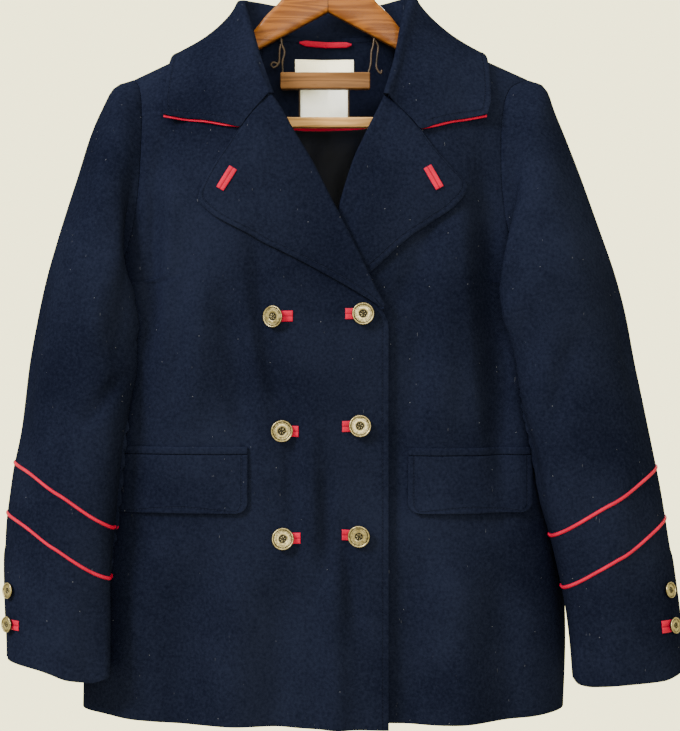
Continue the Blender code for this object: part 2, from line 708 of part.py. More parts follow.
def sleeve_normal(side, turn, at):
    """The outward direction of a sleeve's face."""
    around = sleeve(side, turn + 0.03, at) - sleeve(side, turn - 0.03, at)
    down = sleeve(side, turn, min(1.0, at + 0.01)) - sleeve(side, turn, at - 0.01)
    normal = around.cross(down).normalized()
    return -normal if side == "right" else normal


def at_height(side, turn, z):
    """How far down a sleeve a line of it reaches a height."""
    low = 0.1
    high = 1.0
    for _ in range(30):
        middle = (low + high) / 2.0
        if sleeve(side, turn, middle).z > z:
            low = middle
        else:
            high = middle
    return (low + high) / 2.0


def vent_top(side):
    """Height at which a sleeve's vent begins."""
    return (RIGHT_SLEEVE if side == "right" else LEFT_SLEEVE)[-1].out_z + VENT_HEIGHT


def vent_share(side, turn, z):
    """How much the vent's overlap lifts the upper sleeve's outer edge."""
    low = 1.0 - eased(0.004, 0.018, z - vent_top(side))
    near = 1.0 - eased(OUTER_SEAM + 0.05, OUTER_SEAM + 0.5, turn)
    return low * near


def lap_start(side, z):
    """The turn of the upper sleeve's outer edge, which laps over below the vent's top."""
    return OUTER_SEAM - VENT_TURN * (1.0 - eased(-0.009, 0.001, z - vent_top(side)))


def sleeve_face(side, turn, at, out=0.0):
    """A point on the upper sleeve's face, or on what lies on it, moved out."""
    point = sleeve(side, turn, at)
    lift = VENT_LIFT * vent_share(side, turn, point.z) + out
    if lift <= 0.0:
        return point
    return point + sleeve_normal(side, turn, at) * lift


SLEEVE_ROWS = (0.0, 0.015, 0.05, 0.10, 0.17, 0.25, 0.34, 0.44, 0.56, 0.67, 0.765, 0.795, 0.82, 1.0)


def seam_turns():
    """Turns round the armhole that meet the rows of the panels, from shoulder to armpit."""
    return sorted(math.acos(2.0 * share - 1.0) for share in UPPER_ROWS)


def armhole_gap(turn):
    """The seam's gap at the armhole, wider over the shoulder, where both walls curve away."""
    return mixed(ARMHOLE_GAP_TOP, ARMHOLE_GAP, eased(ARMHOLE_TURNS[0], ARMHOLE_TURNS[1], turn))


def build_sleeve(side):
    """The upper sleeve, whose outer edge laps over at the vent, and the under sleeve."""
    sign = -1.0 if side == "right" else 1.0
    upper = []
    for at in SLEEVE_ROWS:
        start = lap_start(side, sleeve(side, OUTER_SEAM, at).z)
        turns = [start, start / 2] + [turn for turn in seam_turns() if turn < INNER_SEAM]
        turns += [mixed(math.pi, INNER_SEAM, 0.5), INNER_SEAM]
        upper.append([sleeve_face(side, turn, at) for turn in turns])
    upper = trimmed(upper, [armhole_gap(turn) for turn in turns], 0.0, SLEEVE_GAP, SLEEVE_GAP)
    sheet("sleeve_upper_" + side, upper, CLOTH, NAVY, Vector((sign * 0.27, -1.0, -0.5)))
    under = []
    turns = [math.tau - turn for turn in reversed(seam_turns())]
    turns = [turn for turn in turns if INNER_SEAM - 0.001 < turn < OUTER_SEAM + math.tau + 0.001]
    for at in SLEEVE_ROWS:
        under.append([sleeve(side, turn, at) for turn in turns])
    under = trimmed(under, ARMHOLE_GAP, 0.0, SLEEVE_GAP, SLEEVE_GAP)
    sheet("sleeve_under_" + side, under, CLOTH, NAVY, Vector((sign * 0.27, 1.0, -0.5)))


def build_piping(side):
    """The two red cords that slant round the upper sleeve from seam to seam."""
    sign = -1.0 if side == "right" else 1.0
    for piping in RIGHT_PIPING if side == "right" else LEFT_PIPING:
        grid = []
        for i in range(PIPING_STEPS + 1):
            turn = mixed(OUTER_SEAM + 0.02, INNER_SEAM - 0.22, i / PIPING_STEPS)
            share = (1.0 - math.cos(turn)) / 2.0
            share += piping.bow * math.sin(math.pi * share)
            z = mixed(piping.out_z, piping.in_z, share)
            gap = mixed(PIPING_GAP, PIPING_END_GAP, eased(0.7, 0.9, i / PIPING_STEPS))
            row = []
            for up, out in ((0.5, 0.5), (0.0, 1.0), (-0.5, 0.5)):
                at = at_height(side, turn, z + up * PIPING_WIDTH)
                row.append(sleeve_face(side, turn, at, gap + PIPING_RISE * out))
            grid.append(row)
        name = "piping_" + piping.name + "_" + side
        sheet(name, grid, PIPING_WALL, RED, Vector((sign * 0.27, -1.0, -0.65)))


def collar_row(half, at):
    """The roll, edge and seam points of one collar row, on its own half."""
    rows = COLLAR_RIGHT if half == "right" else COLLAR_LEFT
    sign = -1.0 if half == "right" else 1.0
    roll, edge = (
        Vector([read(rows, "at", end + axis, at) for axis in ("_x", "_y", "_z")])
        for end in ("roll", "edge")
    )
    seam_z = read(rows, "at", "seam_z", at)
    seam_x = read(rows, "at", "seam_x", at)
    if at < NECK_SIDE:
        seam_x = abs(front_edge(half, seam_z))
    else:
        seam_z = neck_z(seam_x)
    facing = math.radians(read(rows, "at", "facing", at))
    panel = body(sign * seam_x, seam_z, half if at < NECK_SIDE else "back")
    outward = Vector((math.cos(facing), math.sin(facing), 0.0))
    seam = Vector((seam_x, panel.y, seam_z)) - outward * CLOTH
    seam += Vector((-SEAM_SHIFT * (1.0 - eased(0.3, NECK_SIDE, at)), 0.0, SEAM_RISE))
    return [Vector((sign * point.x, point.y, point.z)) for point in (roll, edge, seam)]


def above_body(point, half, out):
    """Keeps a collar point at least the given length outside the front, back and shoulder."""
    top = shoulder_z(point.x)
    piece = "back" if point.y > 0 else half
    reach = max(0.03, top - point.z + 0.03)
    profile = [body(point.x, top - reach * (i / PROFILE_STEPS) ** 2, piece) for i in range(PROFILE_STEPS)]
    nearest = None
    for first, last in zip(profile, profile[1:]):
        line = last - first
        share = min(1.0, max(0.0, (point - first).dot(line) / line.length_squared))
        spot = first + line * share
        if nearest is None or (point - spot).length < (point - nearest[0]).length:
            across = Vector((0.0, -line.z, line.y)) if piece == "back" else Vector((0.0, line.z, -line.y))
            nearest = (spot, across.normalized())
    spot, outward = nearest
    depth = (point - spot).dot(outward)
    if depth >= out:
        return point
    return point + outward * (out - depth)


FALL_SHARES = (0.0, 0.06, 0.16, 0.28, NOTCH_SHARE, 0.50, 0.66, 0.83, 1.0)


def collar_section(half, at):
    """Points across the collar from its neck seam over the roll to its edge."""
    roll, edge, seam = collar_row(half, at)
    radius = mixed((CLOTH + LAPEL_OUT) / 2.0, ROLL_RADIUS, eased(0.0, 0.2, at))
    to_edge = (edge - roll).normalized()
    to_seam = (seam - roll).normalized()
    crown = -(to_edge + to_seam).normalized()
    side = to_edge - to_seam
    side = (side - crown * side.dot(crown)).normalized()
    centre = roll - crown * radius
    stand = [mixed(seam, centre - side * radius, t) for t in (0.0, 0.5, 1.0)]
    over = []
    for angle in (-45.0, 0.0, 45.0):
        turn = math.radians(angle)
        over.append(centre + (side * math.sin(turn) + crown * math.cos(turn)) * radius)
    start = centre + side * radius
    run = (edge - start).length
    lapel = (RIGHT_LAPEL if half == "right" else LEFT_LAPEL)[0]
    notch = Vector((lapel.edge_x, edge.y, lapel.edge_z))
    near_gorge = 1.0 - eased(0.0, 0.10, at)
    handle = start - crown * run * 0.35
    fall = []
    for share in FALL_SHARES:
        point = mixed(mixed(start, handle, share), mixed(handle, edge, share), share)
        if share <= NOTCH_SHARE:
            kinked = mixed(start, notch, share / NOTCH_SHARE)
        else:
            kinked = mixed(notch, edge, (share - NOTCH_SHARE) / (1.0 - NOTCH_SHARE))
        point = mixed(point, Vector((kinked.x, point.y, kinked.z)), near_gorge)
        fall.append(above_body(point, half, COLLAR_OUT))
    return stand + over + fall


def grid_normals(grid):
    """The direction across each grid point, from its neighbours."""
    last_row = len(grid) - 1
    last = len(grid[0]) - 1
    normals = []
    for i, row in enumerate(grid):
        line = []
        for j in range(len(row)):
            down = grid[min(i + 1, last_row)][j] - grid[max(i - 1, 0)][j]
            over = row[min(j + 1, last)] - row[max(j - 1, 0)]
            line.append(down.cross(over).normalized())
        normals.append(line)
    return normals


def moved(grid, length):
    """The grid moved along its own normals."""
    normals = grid_normals(grid)
    return [[p + n * length for p, n in zip(row, line)] for row, line in zip(grid, normals)]


COLLAR_SHARES = (0.0, 0.035, 0.08, 0.16, 0.24, 0.32, 0.40, 0.48, 0.57, 0.66, 0.80, 1.0)


def build_collar():
    """The collar in one piece, stand, roll and fall, and the red undercollar below it."""
    stations = [("right", at) for at in COLLAR_SHARES]
    stations += [("left", at) for at in reversed(COLLAR_SHARES[:-1])]
    grid = [collar_section(half, at) for half, at in stations]
    collar = trimmed(grid, SEAM, SEAM, 0.0, 0.0)
    made = [sheet("collar", collar, CLOTH, NAVY, Vector((0.0, -0.2, -0.12)))]
    first = len(grid[0]) - len(FALL_SHARES) + UNDERCOLLAR_START
    middle = len(grid) // 2
    sign = -1.0 if moved(grid, 0.001)[middle][-2].y > grid[middle][-2].y else 1.0
    under = [row[first:] for row in moved(grid, sign * (CLOTH + LAYER_GAP))]
    for end, beside in ((0, 1), (-1, -2)):
        for i, share in enumerate(FALL_SHARES[UNDERCOLLAR_START:]):
            out = (under[end][i] - under[beside][i]).normalized()
            shows = mixed(-SEAM, UNDERCOLLAR_SHOWS, eased(NOTCH_SHARE, NOTCH_SHARE + 0.1, share))
            under[end][i] = under[end][i] + out * shows
    under = trimmed(under, 0.0, 0.0, 0.0, 0.0006)
    made.append(sheet("undercollar", under, UNDERCOLLAR, RED, Vector((0.0, 1.0, -0.2))))
    return made


def lapel_row(piece, at):
    """The roll and edge places of one lapel row, seen from the front."""
    rows = RIGHT_LAPEL if piece == "right" else LEFT_LAPEL
    return [read(rows, "at", column, at) for column in ("roll_x", "roll_z", "edge_x", "edge_z")]


LAPEL_ROWS = (0.0, 0.08, 0.16, 0.24, 0.32, 0.42, 0.49, 0.56, 0.63, 0.70, 0.77, 0.84, 0.92, 1.0)
LAPEL_COLUMNS = (0.12, 0.28, 0.46, 0.64, 0.82, 1.0)


def build_lapel(piece):
    """A lapel: the front's cloth carried round the roll and laid back on the front."""
    radius = (CLOTH + LAPEL_OUT) / 2.0
    sign = 1.0 if piece == "right" else -1.0
    grid = []
    for at in LAPEL_ROWS:
        roll_x, roll_z, edge_x, edge_z = lapel_row(piece, at)
        normal = body_normal(roll_x - sign * 0.004, roll_z, piece)
        base = body(roll_x - sign * 0.004, roll_z, piece) + normal * (LAPEL_OUT - CLOTH) / 2.0
        away = (Vector((roll_x - edge_x, 0.0, roll_z - edge_z))).normalized()
        away = (away - normal * away.dot(normal)).normalized()
        centre = base + away * 0.0015
        row = []
        for angle in (-90.0, -45.0, 0.0, 45.0, 90.0):
            turn = math.radians(angle)
            row.append(centre + (away * math.cos(turn) + normal * math.sin(turn)) * radius)
        for across in LAPEL_COLUMNS:
            x = mixed(roll_x - sign * 0.006, edge_x, across)
            z = mixed(roll_z, edge_z, across)
            row.append(laid(x, z, piece, LAPEL_OUT))
        grid.append(row)
    grid = trimmed(grid, SEAM, 0.0, 0.0, 0.0)
    return sheet("lapel_" + piece, grid, CLOTH, NAVY, Vector((0.0, -1.0, -0.3)))


def corner_inset(distance, radius):
    """How far a round corner draws in, at a distance from the edge that it ends on."""
    if distance >= radius:
        return 0.0
    return radius - math.sqrt(max(0.0, radius**2 - (radius - distance) ** 2))


def build_pocket(pocket):
    """A welt with the flap that hangs from it, both laid on the front."""
    outward = Vector((pocket.inner_x, -1.0, pocket.bottom_z))
    welt = []
    for z in (pocket.top_z + WELT_HEIGHT, pocket.top_z + SEAM * 2):
        row = []
        for i in range(11):
            x = mixed(pocket.inner_x, pocket.outer_x, i / 10)
            row.append(laid(x, z, pocket.side, pocket.gap + WELT_CLOTH))
        welt.append(row)
    sheet("welt_" + pocket.side, welt, WELT_CLOTH, NAVY, outward)
    flap = []
    height = pocket.top_z - pocket.bottom_z
    for down in (0.0, 0.4, 0.80, 0.90, 0.97, 1.0):
        z = pocket.top_z - height * down
        inset = corner_inset(height * (1.0 - down), FLAP_CORNER)
        inward = math.copysign(inset, pocket.outer_x)
        row = []
        for i in range(11):
            x = mixed(pocket.inner_x + inward, pocket.outer_x - inward, i / 10)
            row.append(laid(x, z, pocket.side, pocket.gap + FLAP_CLOTH))
        flap.append(row)
    sheet("flap_" + pocket.side, flap, FLAP_CLOTH, NAVY, outward)


def turned(name, profile, finish, place, normal, steps):
    """A turned piece: its profile, top to bottom at +X, swept round by Screw."""
    shape = bmesh.new()
    points = [shape.verts.new((radius, 0.0, height)) for radius, height in profile]
    for first, last in zip(points, points[1:]):
        shape.edges.new((first, last))
    made = object_of(shape, name, finish, smooth=False)
    screw = made.modifiers.new("Screw", "SCREW")
    screw.axis = "Z"
    screw.steps = steps
    screw.render_steps = steps
    screw.use_merge_vertices = True
    screw.merge_threshold = 0.00001
    made.location = place
    made.rotation_mode = "QUATERNION"
    made.rotation_quaternion = normal.to_track_quat("Z", "Y")
    return made


def button_profile(radius):
    """A domed button with a raised rim, from the middle of its face to its short shank."""
    return (
        (0.0, 0.0024),
        (radius * 0.40, 0.0026),
        (radius * 0.70, 0.0021),
        (radius * 0.86, 0.0032),
        (radius * 0.96, 0.0030),
        (radius, 0.0020),
        (radius * 0.90, 0.0004),
        (SHANK_R, 0.0),
        (SHANK_R, -SHANK_HEIGHT),
        (0.0, -SHANK_HEIGHT),
    )


def build_front_buttons():
    """Six buttons and the red bound buttonholes that show beside them."""
    for spot in FRONT_BUTTONS:
        piece = "right"
        towards = 1.0 if spot.x < 0 else -1.0
        hole = []
        for up in (0.5, -0.5):
            row = []
            for share in (0.0, 0.3, 0.6, 1.0):
                x = spot.x + towards * mixed(HOLE_BACK, HOLE_FRONT, share)
                row.append(laid(x, spot.z + up * HOLE_HEIGHT, piece, PANEL_GAP + HOLE_CLOTH))
            hole.append(row)
        outward = Vector((spot.x, -1.0, spot.z))
        sheet("buttonhole_" + spot.name, hole, HOLE_CLOTH, RED, outward)
        place = laid(spot.x, spot.z, piece, PANEL_GAP + BUTTON_STAND + HOLE_CLOTH)
        normal = body_normal(spot.x, spot.z, piece)
        turned("button_" + spot.name, button_profile(BUTTON_R), ANTIQUE, place, normal, 14)


def build_lapel_hole(hole):
    """The slanted red buttonhole near the lapel's tip."""
    lean = math.radians(hole.lean)
    along = Vector((-math.sin(lean), 0.0, -math.cos(lean)))
    across = Vector((math.cos(lean), 0.0, -math.sin(lean)))
    centre = Vector((hole.x, 0.0, hole.z))
    grid = []
    for i in (-0.5, 0.5):
        row = []
        for j in (-0.5, 0.5):
            at = centre + along * i * LAPEL_HOLE_LENGTH + across * j * LAPEL_HOLE_WIDTH
            row.append(laid(at.x, at.z, hole.side, LAPEL_OUT + PANEL_GAP + HOLE_CLOTH))
        grid.append(row)
    outward = Vector((hole.x, -1.0, hole.z))
    sheet("lapel_hole_" + hole.side, grid, HOLE_CLOTH, RED, outward)


def build_cuff(side):
    """Two buttons on the vent of a sleeve and the red buttonhole beside the lower one."""
    sign = -1.0 if side == "right" else 1.0
    for name, z in CUFF_BUTTONS:
        at = at_height(side, CUFF_BUTTON_TURN, z)
        stand = SHANK_HEIGHT + (LAYER_GAP + CUFF_HOLE_GAP + HOLE_CLOTH if name == "low" else 0.0)
        place = sleeve_face(side, CUFF_BUTTON_TURN, at, stand)
        normal = sleeve_normal(side, CUFF_BUTTON_TURN, at)
        profile = button_profile(CUFF_BUTTON_R)
        turned("cuff_button_" + name + "_" + side, profile, ANTIQUE, place, normal, 12)
    grid = []
    for up in (0.5, -0.5):
        row = []
        for turn in (CUFF_BUTTON_TURN, CUFF_BUTTON_TURN + 0.24, CUFF_BUTTON_TURN + 0.48):
            at = at_height(side, turn, CUFF_BUTTONS[1][1] + up * HOLE_HEIGHT)
            row.append(sleeve_face(side, turn, at, CUFF_HOLE_GAP + HOLE_CLOTH))
        grid.append(row)
    sheet("cuff_hole_" + side, grid, HOLE_CLOTH, RED, Vector((sign * 0.6, -1.0, -0.78)))


def facing_low(x):
    """The curved lower edge of the back neck's facing."""
    share = min(1.0, abs(x - FACING_LOW_X) / FACING_HALF)
    return mixed(FACING_LOW_Z, FACING_SIDE_Z, share**2)


def inside_patch(name, left, right, top, bottom, depth, thickness, finish, columns=8, rows=2):
    """A thin sheet inside the back, whose face lies the given depth under the back's face."""
    grid = []
    for i in range(rows + 1):
        row = []
        for j in range(columns + 1):
            x = mixed(left, right, j / columns)
            z = mixed(top(x), bottom(x), i / rows)
            row.append(laid(x, z, "back", -depth))
        grid.append(row)
    return sheet(name, grid, thickness, finish, Vector(((left + right) / 2, -1.0, -0.2)))


def build_neck_inside():
    """The back neck's facing with its piping, the lining below, two labels and the loop."""
    facing = CLOTH + FACING_GAP + FACING_CLOTH
    inside_patch("back_facing", -FACING_HALF, FACING_HALF, lambda x: neck_z(x) - 0.0012,
                 lambda x: facing_low(x) + SEAM, facing, FACING_CLOTH, NAVY, 10, 4)
    inside_patch("facing_piping", -FACING_HALF, FACING_HALF, lambda x: facing_low(x) + 0.0018,
                 lambda x: facing_low(x) - 0.0018, facing + LAYER_GAP * 2 + FACING_PIPING,
                 FACING_PIPING, RED, 10, 1)
    label = facing + LAYER_GAP + LABEL_CLOTH
    for name, left, right, top, bottom, finish in LABELS:
        inside_patch(name, left, right, lambda x: top, lambda x: bottom, label, LABEL_CLOTH,
                     finish, 4, 1)
    lining = CLOTH + LINING_GAP + LINING_CLOTH
    grid = []
    for i in range(11):
        row = []
        for j in range(13):
            across = mixed(LINING_MARGIN, 1.0 - LINING_MARGIN, j / 12)
            side_z = mixed(FACING_SIDE_Z, LINING_LOW_Z, i / 10)
            right = read(BODY, "z", "right", side_z)
            x = mixed(right, read(BODY, "z", "left", side_z), across)
            x = mixed(x * LINING_TOP_SHARE, x, eased(0.0, 0.35, i / 10))
            z = mixed(facing_low(x) - LINING_TOP_GAP, LINING_LOW_Z, i / 10)
            row.append(laid(x, z, "back", -lining))
        grid.append(row)
    sheet("back_lining", grid, LINING_CLOTH, SATIN, Vector((0.0, -1.0, -0.5)))
    loop = []
    for up in (0.5, 0.0, -0.5):
        row = []
        for share in (-0.5, -0.44, -0.2, 0.0, 0.2, 0.44, 0.5):
            taper = 1.0 - 0.5 * eased(0.42, 0.5, abs(share))
            out = LOOP_OUT + LOOP_BOW * (1.0 - (2.0 * share) ** 2)
            z = LOOP_Z + up * LOOP_HEIGHT * taper
            row.append(laid(LOOP_X + share * LOOP_WIDTH, z, "back", -facing - LOOP_CLOTH - out))
        loop.append(row)
    sheet("hanging_loop", loop, LOOP_CLOTH, RED, Vector((0.0, -1.0, BACK_NECK_Z)))


def build_arm(name, sign):
    """One wooden arm of the hanger, through sections with rounded corners."""
    shape = bmesh.new()
    loops = []
    for arm in ARM:
        x = sign * max(arm.x, SEAM)
        round_off = ARM_ROUND * (1.0 if arm.x > 0.02 else 0.5)
        corners = []
        for y_side, z_side in ((-1, 1), (1, 1), (1, -1), (-1, -1)):
            edge = arm.top if z_side > 0 else arm.bottom
            along = Vector((x, y_side * (arm.half_y - round_off), edge))
            up = Vector((x, y_side * arm.half_y, edge - z_side * round_off))
            corners += [up, along] if (y_side < 0) == (z_side > 0) else [along, up]
        loops.append([shape.verts.new(point) for point in corners])
    for first, last in zip(loops, loops[1:]):
        for i in range(8):
            shape.faces.new((first[i - 1], first[i], last[i], last[i - 1]))
    shape.faces.new(loops[0])
    shape.faces.new(loops[-1])
    bmesh.ops.recalc_face_normals(shape, faces=shape.faces)
    return object_of(shape, name, WOOD, smooth=False)


def wire(name, points, radius, finish, resolution=2):
    """A bent wire with closed ends."""
    curve = bpy.data.curves.new(name, "CURVE")
    curve.dimensions = "3D"
    curve.bevel_depth = radius
    curve.bevel_resolution = resolution
    curve.use_fill_caps = True
    spline = curve.splines.new("POLY")
    spline.points.add(len(points) - 1)
    for target, point in zip(spline.points, points):
        target.co = (*point, 1.0)
    made = bpy.data.objects.new(name, curve)
    bpy.context.scene.collection.objects.link(made)
    return finish_of(made, name, finish)


def build_hook():
    """The hanger's hook, whose inside top is the origin."""
    points = [Vector((0.0, 0.0, ARM[0].top + SEAM * 2)), Vector((0.0, 0.0, ARM[0].top + 0.012))]
    radius = HOOK_R + HOOK_WIRE
    for i in range(17):
        turn = math.radians(mixed(-75, 205, i / 16))
        points.append(Vector((radius * math.cos(turn), 0.0, -HOOK_R + radius * math.sin(turn))))
    return wire("hook", points, HOOK_WIRE, STEEL)


def build_bars():
    """The two wooden bars under the arms and the wires that carry them."""
    for bar in BARS:
        shape = bmesh.new()
        bmesh.ops.create_cube(shape, size=1.0)
        for vertex in shape.verts:
            high = vertex.co.z > 0
            half = bar.half_top if high else bar.half_bottom
            vertex.co.x = bar.centre + vertex.co.x * 2.0 * half
            vertex.co.y = vertex.co.y * 2.0 * BAR_HALF_Y
            vertex.co.z = bar.top if high else bar.bottom
        made = object_of(shape, "bar_" + bar.name, PALE_WOOD, smooth=False)
        bevel = made.modifiers.new("Bevel", "BEVEL")
        bevel.width = 0.0012
        bevel.segments = 2
    for name, path in BAR_WIRES:
        wire(name, [Vector(point) for point in path], WIRE_R, BRASS_WIRE)


def make_all():
    """Builds every sub-part."""
    build_front("right")
    build_front("left")
    build_back()
    for side in ("right", "left"):
        build_sleeve(side)
        build_piping(side)
        build_cuff(side)
    build_collar()
    build_lapel("right")
    build_lapel("left")
    for pocket in POCKETS:
        build_pocket(pocket)
    build_front_buttons()
    for hole in LAPEL_HOLES:
        build_lapel_hole(hole)
    build_neck_inside()
    build_arm("hanger_arm_right", -1.0)
    build_arm("hanger_arm_left", 1.0)
    build_hook()
    build_bars()


def main():
    """Empties the scene and builds the coat in its own collection."""
    clear_scene()
    make_all()
    coat = bpy.data.collections.new("winter_jacket")
    bpy.context.scene.collection.children.link(coat)
    for made in list(bpy.context.scene.collection.objects):
        bpy.context.scene.collection.objects.unlink(made)
        coat.objects.link(made)


main()
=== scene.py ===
"""A navy double-breasted wool coat that hangs on a wooden hanger, dressed for its picture.

Sizes are in metres. X runs across the coat, -Y is its front and +Z is up. The origin is
the inside top of the hanger's hook. "Right" in a name is the wearer's right, at -X.
"""

import logging
import math
from collections.abc import Callable
from dataclasses import dataclass
from enum import Enum

import bmesh
import bpy
import numpy as np
from mathutils import Matrix, Vector, noise


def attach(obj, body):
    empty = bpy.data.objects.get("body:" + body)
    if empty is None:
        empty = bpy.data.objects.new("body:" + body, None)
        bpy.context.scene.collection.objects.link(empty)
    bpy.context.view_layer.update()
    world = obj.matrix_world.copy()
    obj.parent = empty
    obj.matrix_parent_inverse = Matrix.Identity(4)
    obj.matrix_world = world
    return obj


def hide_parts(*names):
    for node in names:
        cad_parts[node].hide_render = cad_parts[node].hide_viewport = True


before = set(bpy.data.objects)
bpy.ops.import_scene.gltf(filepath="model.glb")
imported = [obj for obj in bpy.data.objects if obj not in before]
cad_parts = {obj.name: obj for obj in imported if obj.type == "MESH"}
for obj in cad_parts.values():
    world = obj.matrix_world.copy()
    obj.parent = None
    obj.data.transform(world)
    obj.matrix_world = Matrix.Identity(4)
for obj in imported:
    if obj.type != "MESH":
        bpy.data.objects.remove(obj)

Array = np.ndarray
Way = tuple[float, float, float]
Colour = tuple[float, float, float]
Form = Callable[[Array, Array], Array]
Level = Callable[[Array], Array]
FRONTWARDS: Way = (0.0, -1.0, 0.0)
BACKWARDS: Way = (0.0, 1.0, 0.0)
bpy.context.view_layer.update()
BODY = "root"
# A cloth's distance from stitches that it doesn't have
FAR = 1.0
# How far from an edge the wool is stitched
NAVY_STITCHES = 0.0062
# How far a lapel's face lies out from the front's
LAPEL_OUT = 0.0047
# Edges sharper than this are softened
SOFT_ANGLE = math.radians(50)
log = logging.getLogger("coat")


class Panel(Enum):
    """A panel of the coat's body, or the sleeve on its side."""

    RIGHT = "right"
    LEFT = "left"
    BACK = "back"

    @property
    def sign(self) -> float:
        """The side of the coat that the panel is on, along X."""
        return -1.0 if self is Panel.RIGHT else 1.0

    @property
    def face(self) -> float:
        """The way that the panel looks, along Y."""
        return 1.0 if self is Panel.BACK else -1.0


class Held(Enum):
    """How a sheet of cloth is held."""

    HUNG = "hung"
    FOLDED = "folded"
    LAID = "laid"
    STRETCHED = "stretched"


def eased(low: float, high: float, value: Array) -> Array:
    """A smooth step.

    Args:
        low: where the step starts.
        high: where it ends.
        value: the values to read it at.

    Returns:
        0 before low, 1 past high and a smooth rise between them.
    """
    share = np.clip((np.asarray(value, float) - low) / (high - low), 0.0, 1.0)
    return share * share * (3.0 - 2.0 * share)


def faded(down: Array, stops: bool) -> Array:
    """How much of a fold shows along it.

    Args:
        down: shares of its length, from its top.
        stops: whether it dies away at its low end.

    Returns:
        0 where nothing of it shows and 1 where all of it does.
    """
    grown = eased(0.0, 0.35, down)
    return grown * (1.0 - eased(0.62, 1.05, down)) if stops else grown


def ridge(away: Array, width: float) -> Array:
    """A smooth ridge, 1 on its line and 0 far away from it."""
    return np.exp(-((away / width) ** 2))


def arch(place: Array) -> Array:
    """The height of a half circle over places from -1 to 1."""
    return np.sqrt(np.maximum(0.0, 1.0 - place**2))


def mixed(first: Array, last: Array, share: Array) -> Array:
    """A straight mix of two numbers or points, first at share 0 and last at 1."""
    return first + (last - first) * share


def bisected(low: Array, high: Array, steps: int, holds: Level) -> tuple[Array, Array]:
    """Closes in on the places where a test stops holding.

    Args:
        low: places where it still holds.
        high: places where it doesn't.
        steps: how many times the gaps are halved.
        holds: the test.

    Returns:
        The last places below and above.
    """
    for _ in range(steps):
        middle = (low + high) / 2
        below = holds(middle)
        low, high = np.where(below, middle, low), np.where(below, high, middle)
    return low, high


def unit(ways: Array) -> Array:
    """The directions of some vectors, each one long."""
    return ways / np.maximum(np.linalg.norm(ways, axis=-1, keepdims=True), 1e-12)


def dot(first: Array, last: Array) -> Array:
    """The dot products of two rows of vectors, kept as a column."""
    return np.sum(first * last, axis=-1, keepdims=True)


def drift(a: Array, b: Array, c: float) -> Array:
    """Soft unevenness over two coordinates, alike on every run.

    Args:
        a: the first coordinates.
        b: the second ones.
        c: which unevenness it is.

    Returns:
        Its values, from -1 to 1.
    """
    a, b = np.broadcast_arrays(a, b)
    values = [noise.noise(Vector((p, q, c))) for p, q in zip(a.ravel(), b.ravel())]
    return np.array(values).reshape(a.shape)


def curve(keys: Array, values: Array, at: Array, own: bool = False) -> Array:
    """Reads values between keys on a smooth curve that doesn't overshoot.

    Args:
        keys: rising keys, one a row of values.
        values: what is read, its rows first.
        at: the keys to read at.
        own: whether each place reads its own column of values.

    Returns:
        The values at those keys.
    """
    at = np.clip(at, keys[0], keys[-1])
    last = np.clip(np.searchsorted(keys, at, side="right"), 1, len(keys) - 1)
    first = last - 1
    tail = (1,) * (values.ndim - 1)
    slopes = np.diff(values, axis=0) / np.diff(keys).reshape(-1, *tail)
    before, after = slopes[:-1], slopes[1:]
    with np.errstate(divide="ignore", invalid="ignore"):
        inner = np.where(before * after > 0.0, 2.0 * before * after / (before + after), 0.0)
    tangents = np.concatenate([slopes[:1], inner, slopes[-1:]])
    span = keys[last] - keys[first]
    t = (at - keys[first]) / span
    columns = np.arange(len(at)) if own else None

    def pick(table: Array, rows: Array) -> Array:
        """The rows of a table, or one column's value of each."""
        return table[rows, columns] if own else table[rows]

    shape = (-1, *((1,) * (pick(values, first).ndim - 1)))
    t, span = t.reshape(shape), span.reshape(shape)
    start = pick(values, first) * (1 + 2 * t) + pick(tangents, first) * span * t
    end = pick(values, last) * (3 - 2 * t) - pick(tangents, last) * span * (1 - t)
    return start * (1 - t) ** 2 + end * t * t


@dataclass(frozen=True)
class Table:
    """Rows of sizes under named columns. The first column is the key that it is read by."""

    columns: str
    rows: tuple[tuple[float, ...], ...]

    def column(self, name: str) -> Array:
        """One column's numbers, top to bottom."""
        return np.array([row[self.columns.split().index(name)] for row in self.rows], float)

    def read(self, name: str, at: Array) -> Array:
        """One column, read smoothly where the key has the given values.

        Args:
            name: the column.
            at: the keys to read at.

        Returns:
            The values, shaped like the keys.
        """
        at = np.asarray(at, float)
        keys = self.column(self.columns.split()[0])
        return curve(keys, self.column(name), at.ravel()).reshape(at.shape)


# The body's sides and its depths in front and behind, by height
SHAPE = Table("z right left front back", (
    (-0.890, -0.2668, 0.2555, 0.076, 0.050),
    (-0.800, -0.2650, 0.2585, 0.074, 0.050),
    (-0.700, -0.2590, 0.2540, 0.072, 0.049),
    (-0.600, -0.2510, 0.2430, 0.071, 0.048),
    (-0.500, -0.2435, 0.2310, 0.071, 0.048),
    (-0.420, -0.2380, 0.2220, 0.071, 0.049),
    (-0.340, -0.2370, 0.2200, 0.070, 0.050),
    (-0.240, -0.2400, 0.2280, 0.069, 0.050),
    (-0.100, -0.2460, 0.2380, 0.068, 0.048),
))
# Where each armhole's seam lies across, by height
ARMHOLE = Table("z right left", (
    (-0.4200, -0.2380, 0.2220),
    (-0.4080, -0.2270, 0.2110),
    (-0.3850, -0.2140, 0.1990),
    (-0.3440, -0.2040, 0.1880),
    (-0.3000, -0.2000, 0.1845),
    (-0.2620, -0.1992, 0.1850),
    (-0.2294, -0.2005, 0.1890),
    (-0.2075, -0.2045, 0.1980),
    (-0.1955, -0.2120, 0.2185),
))
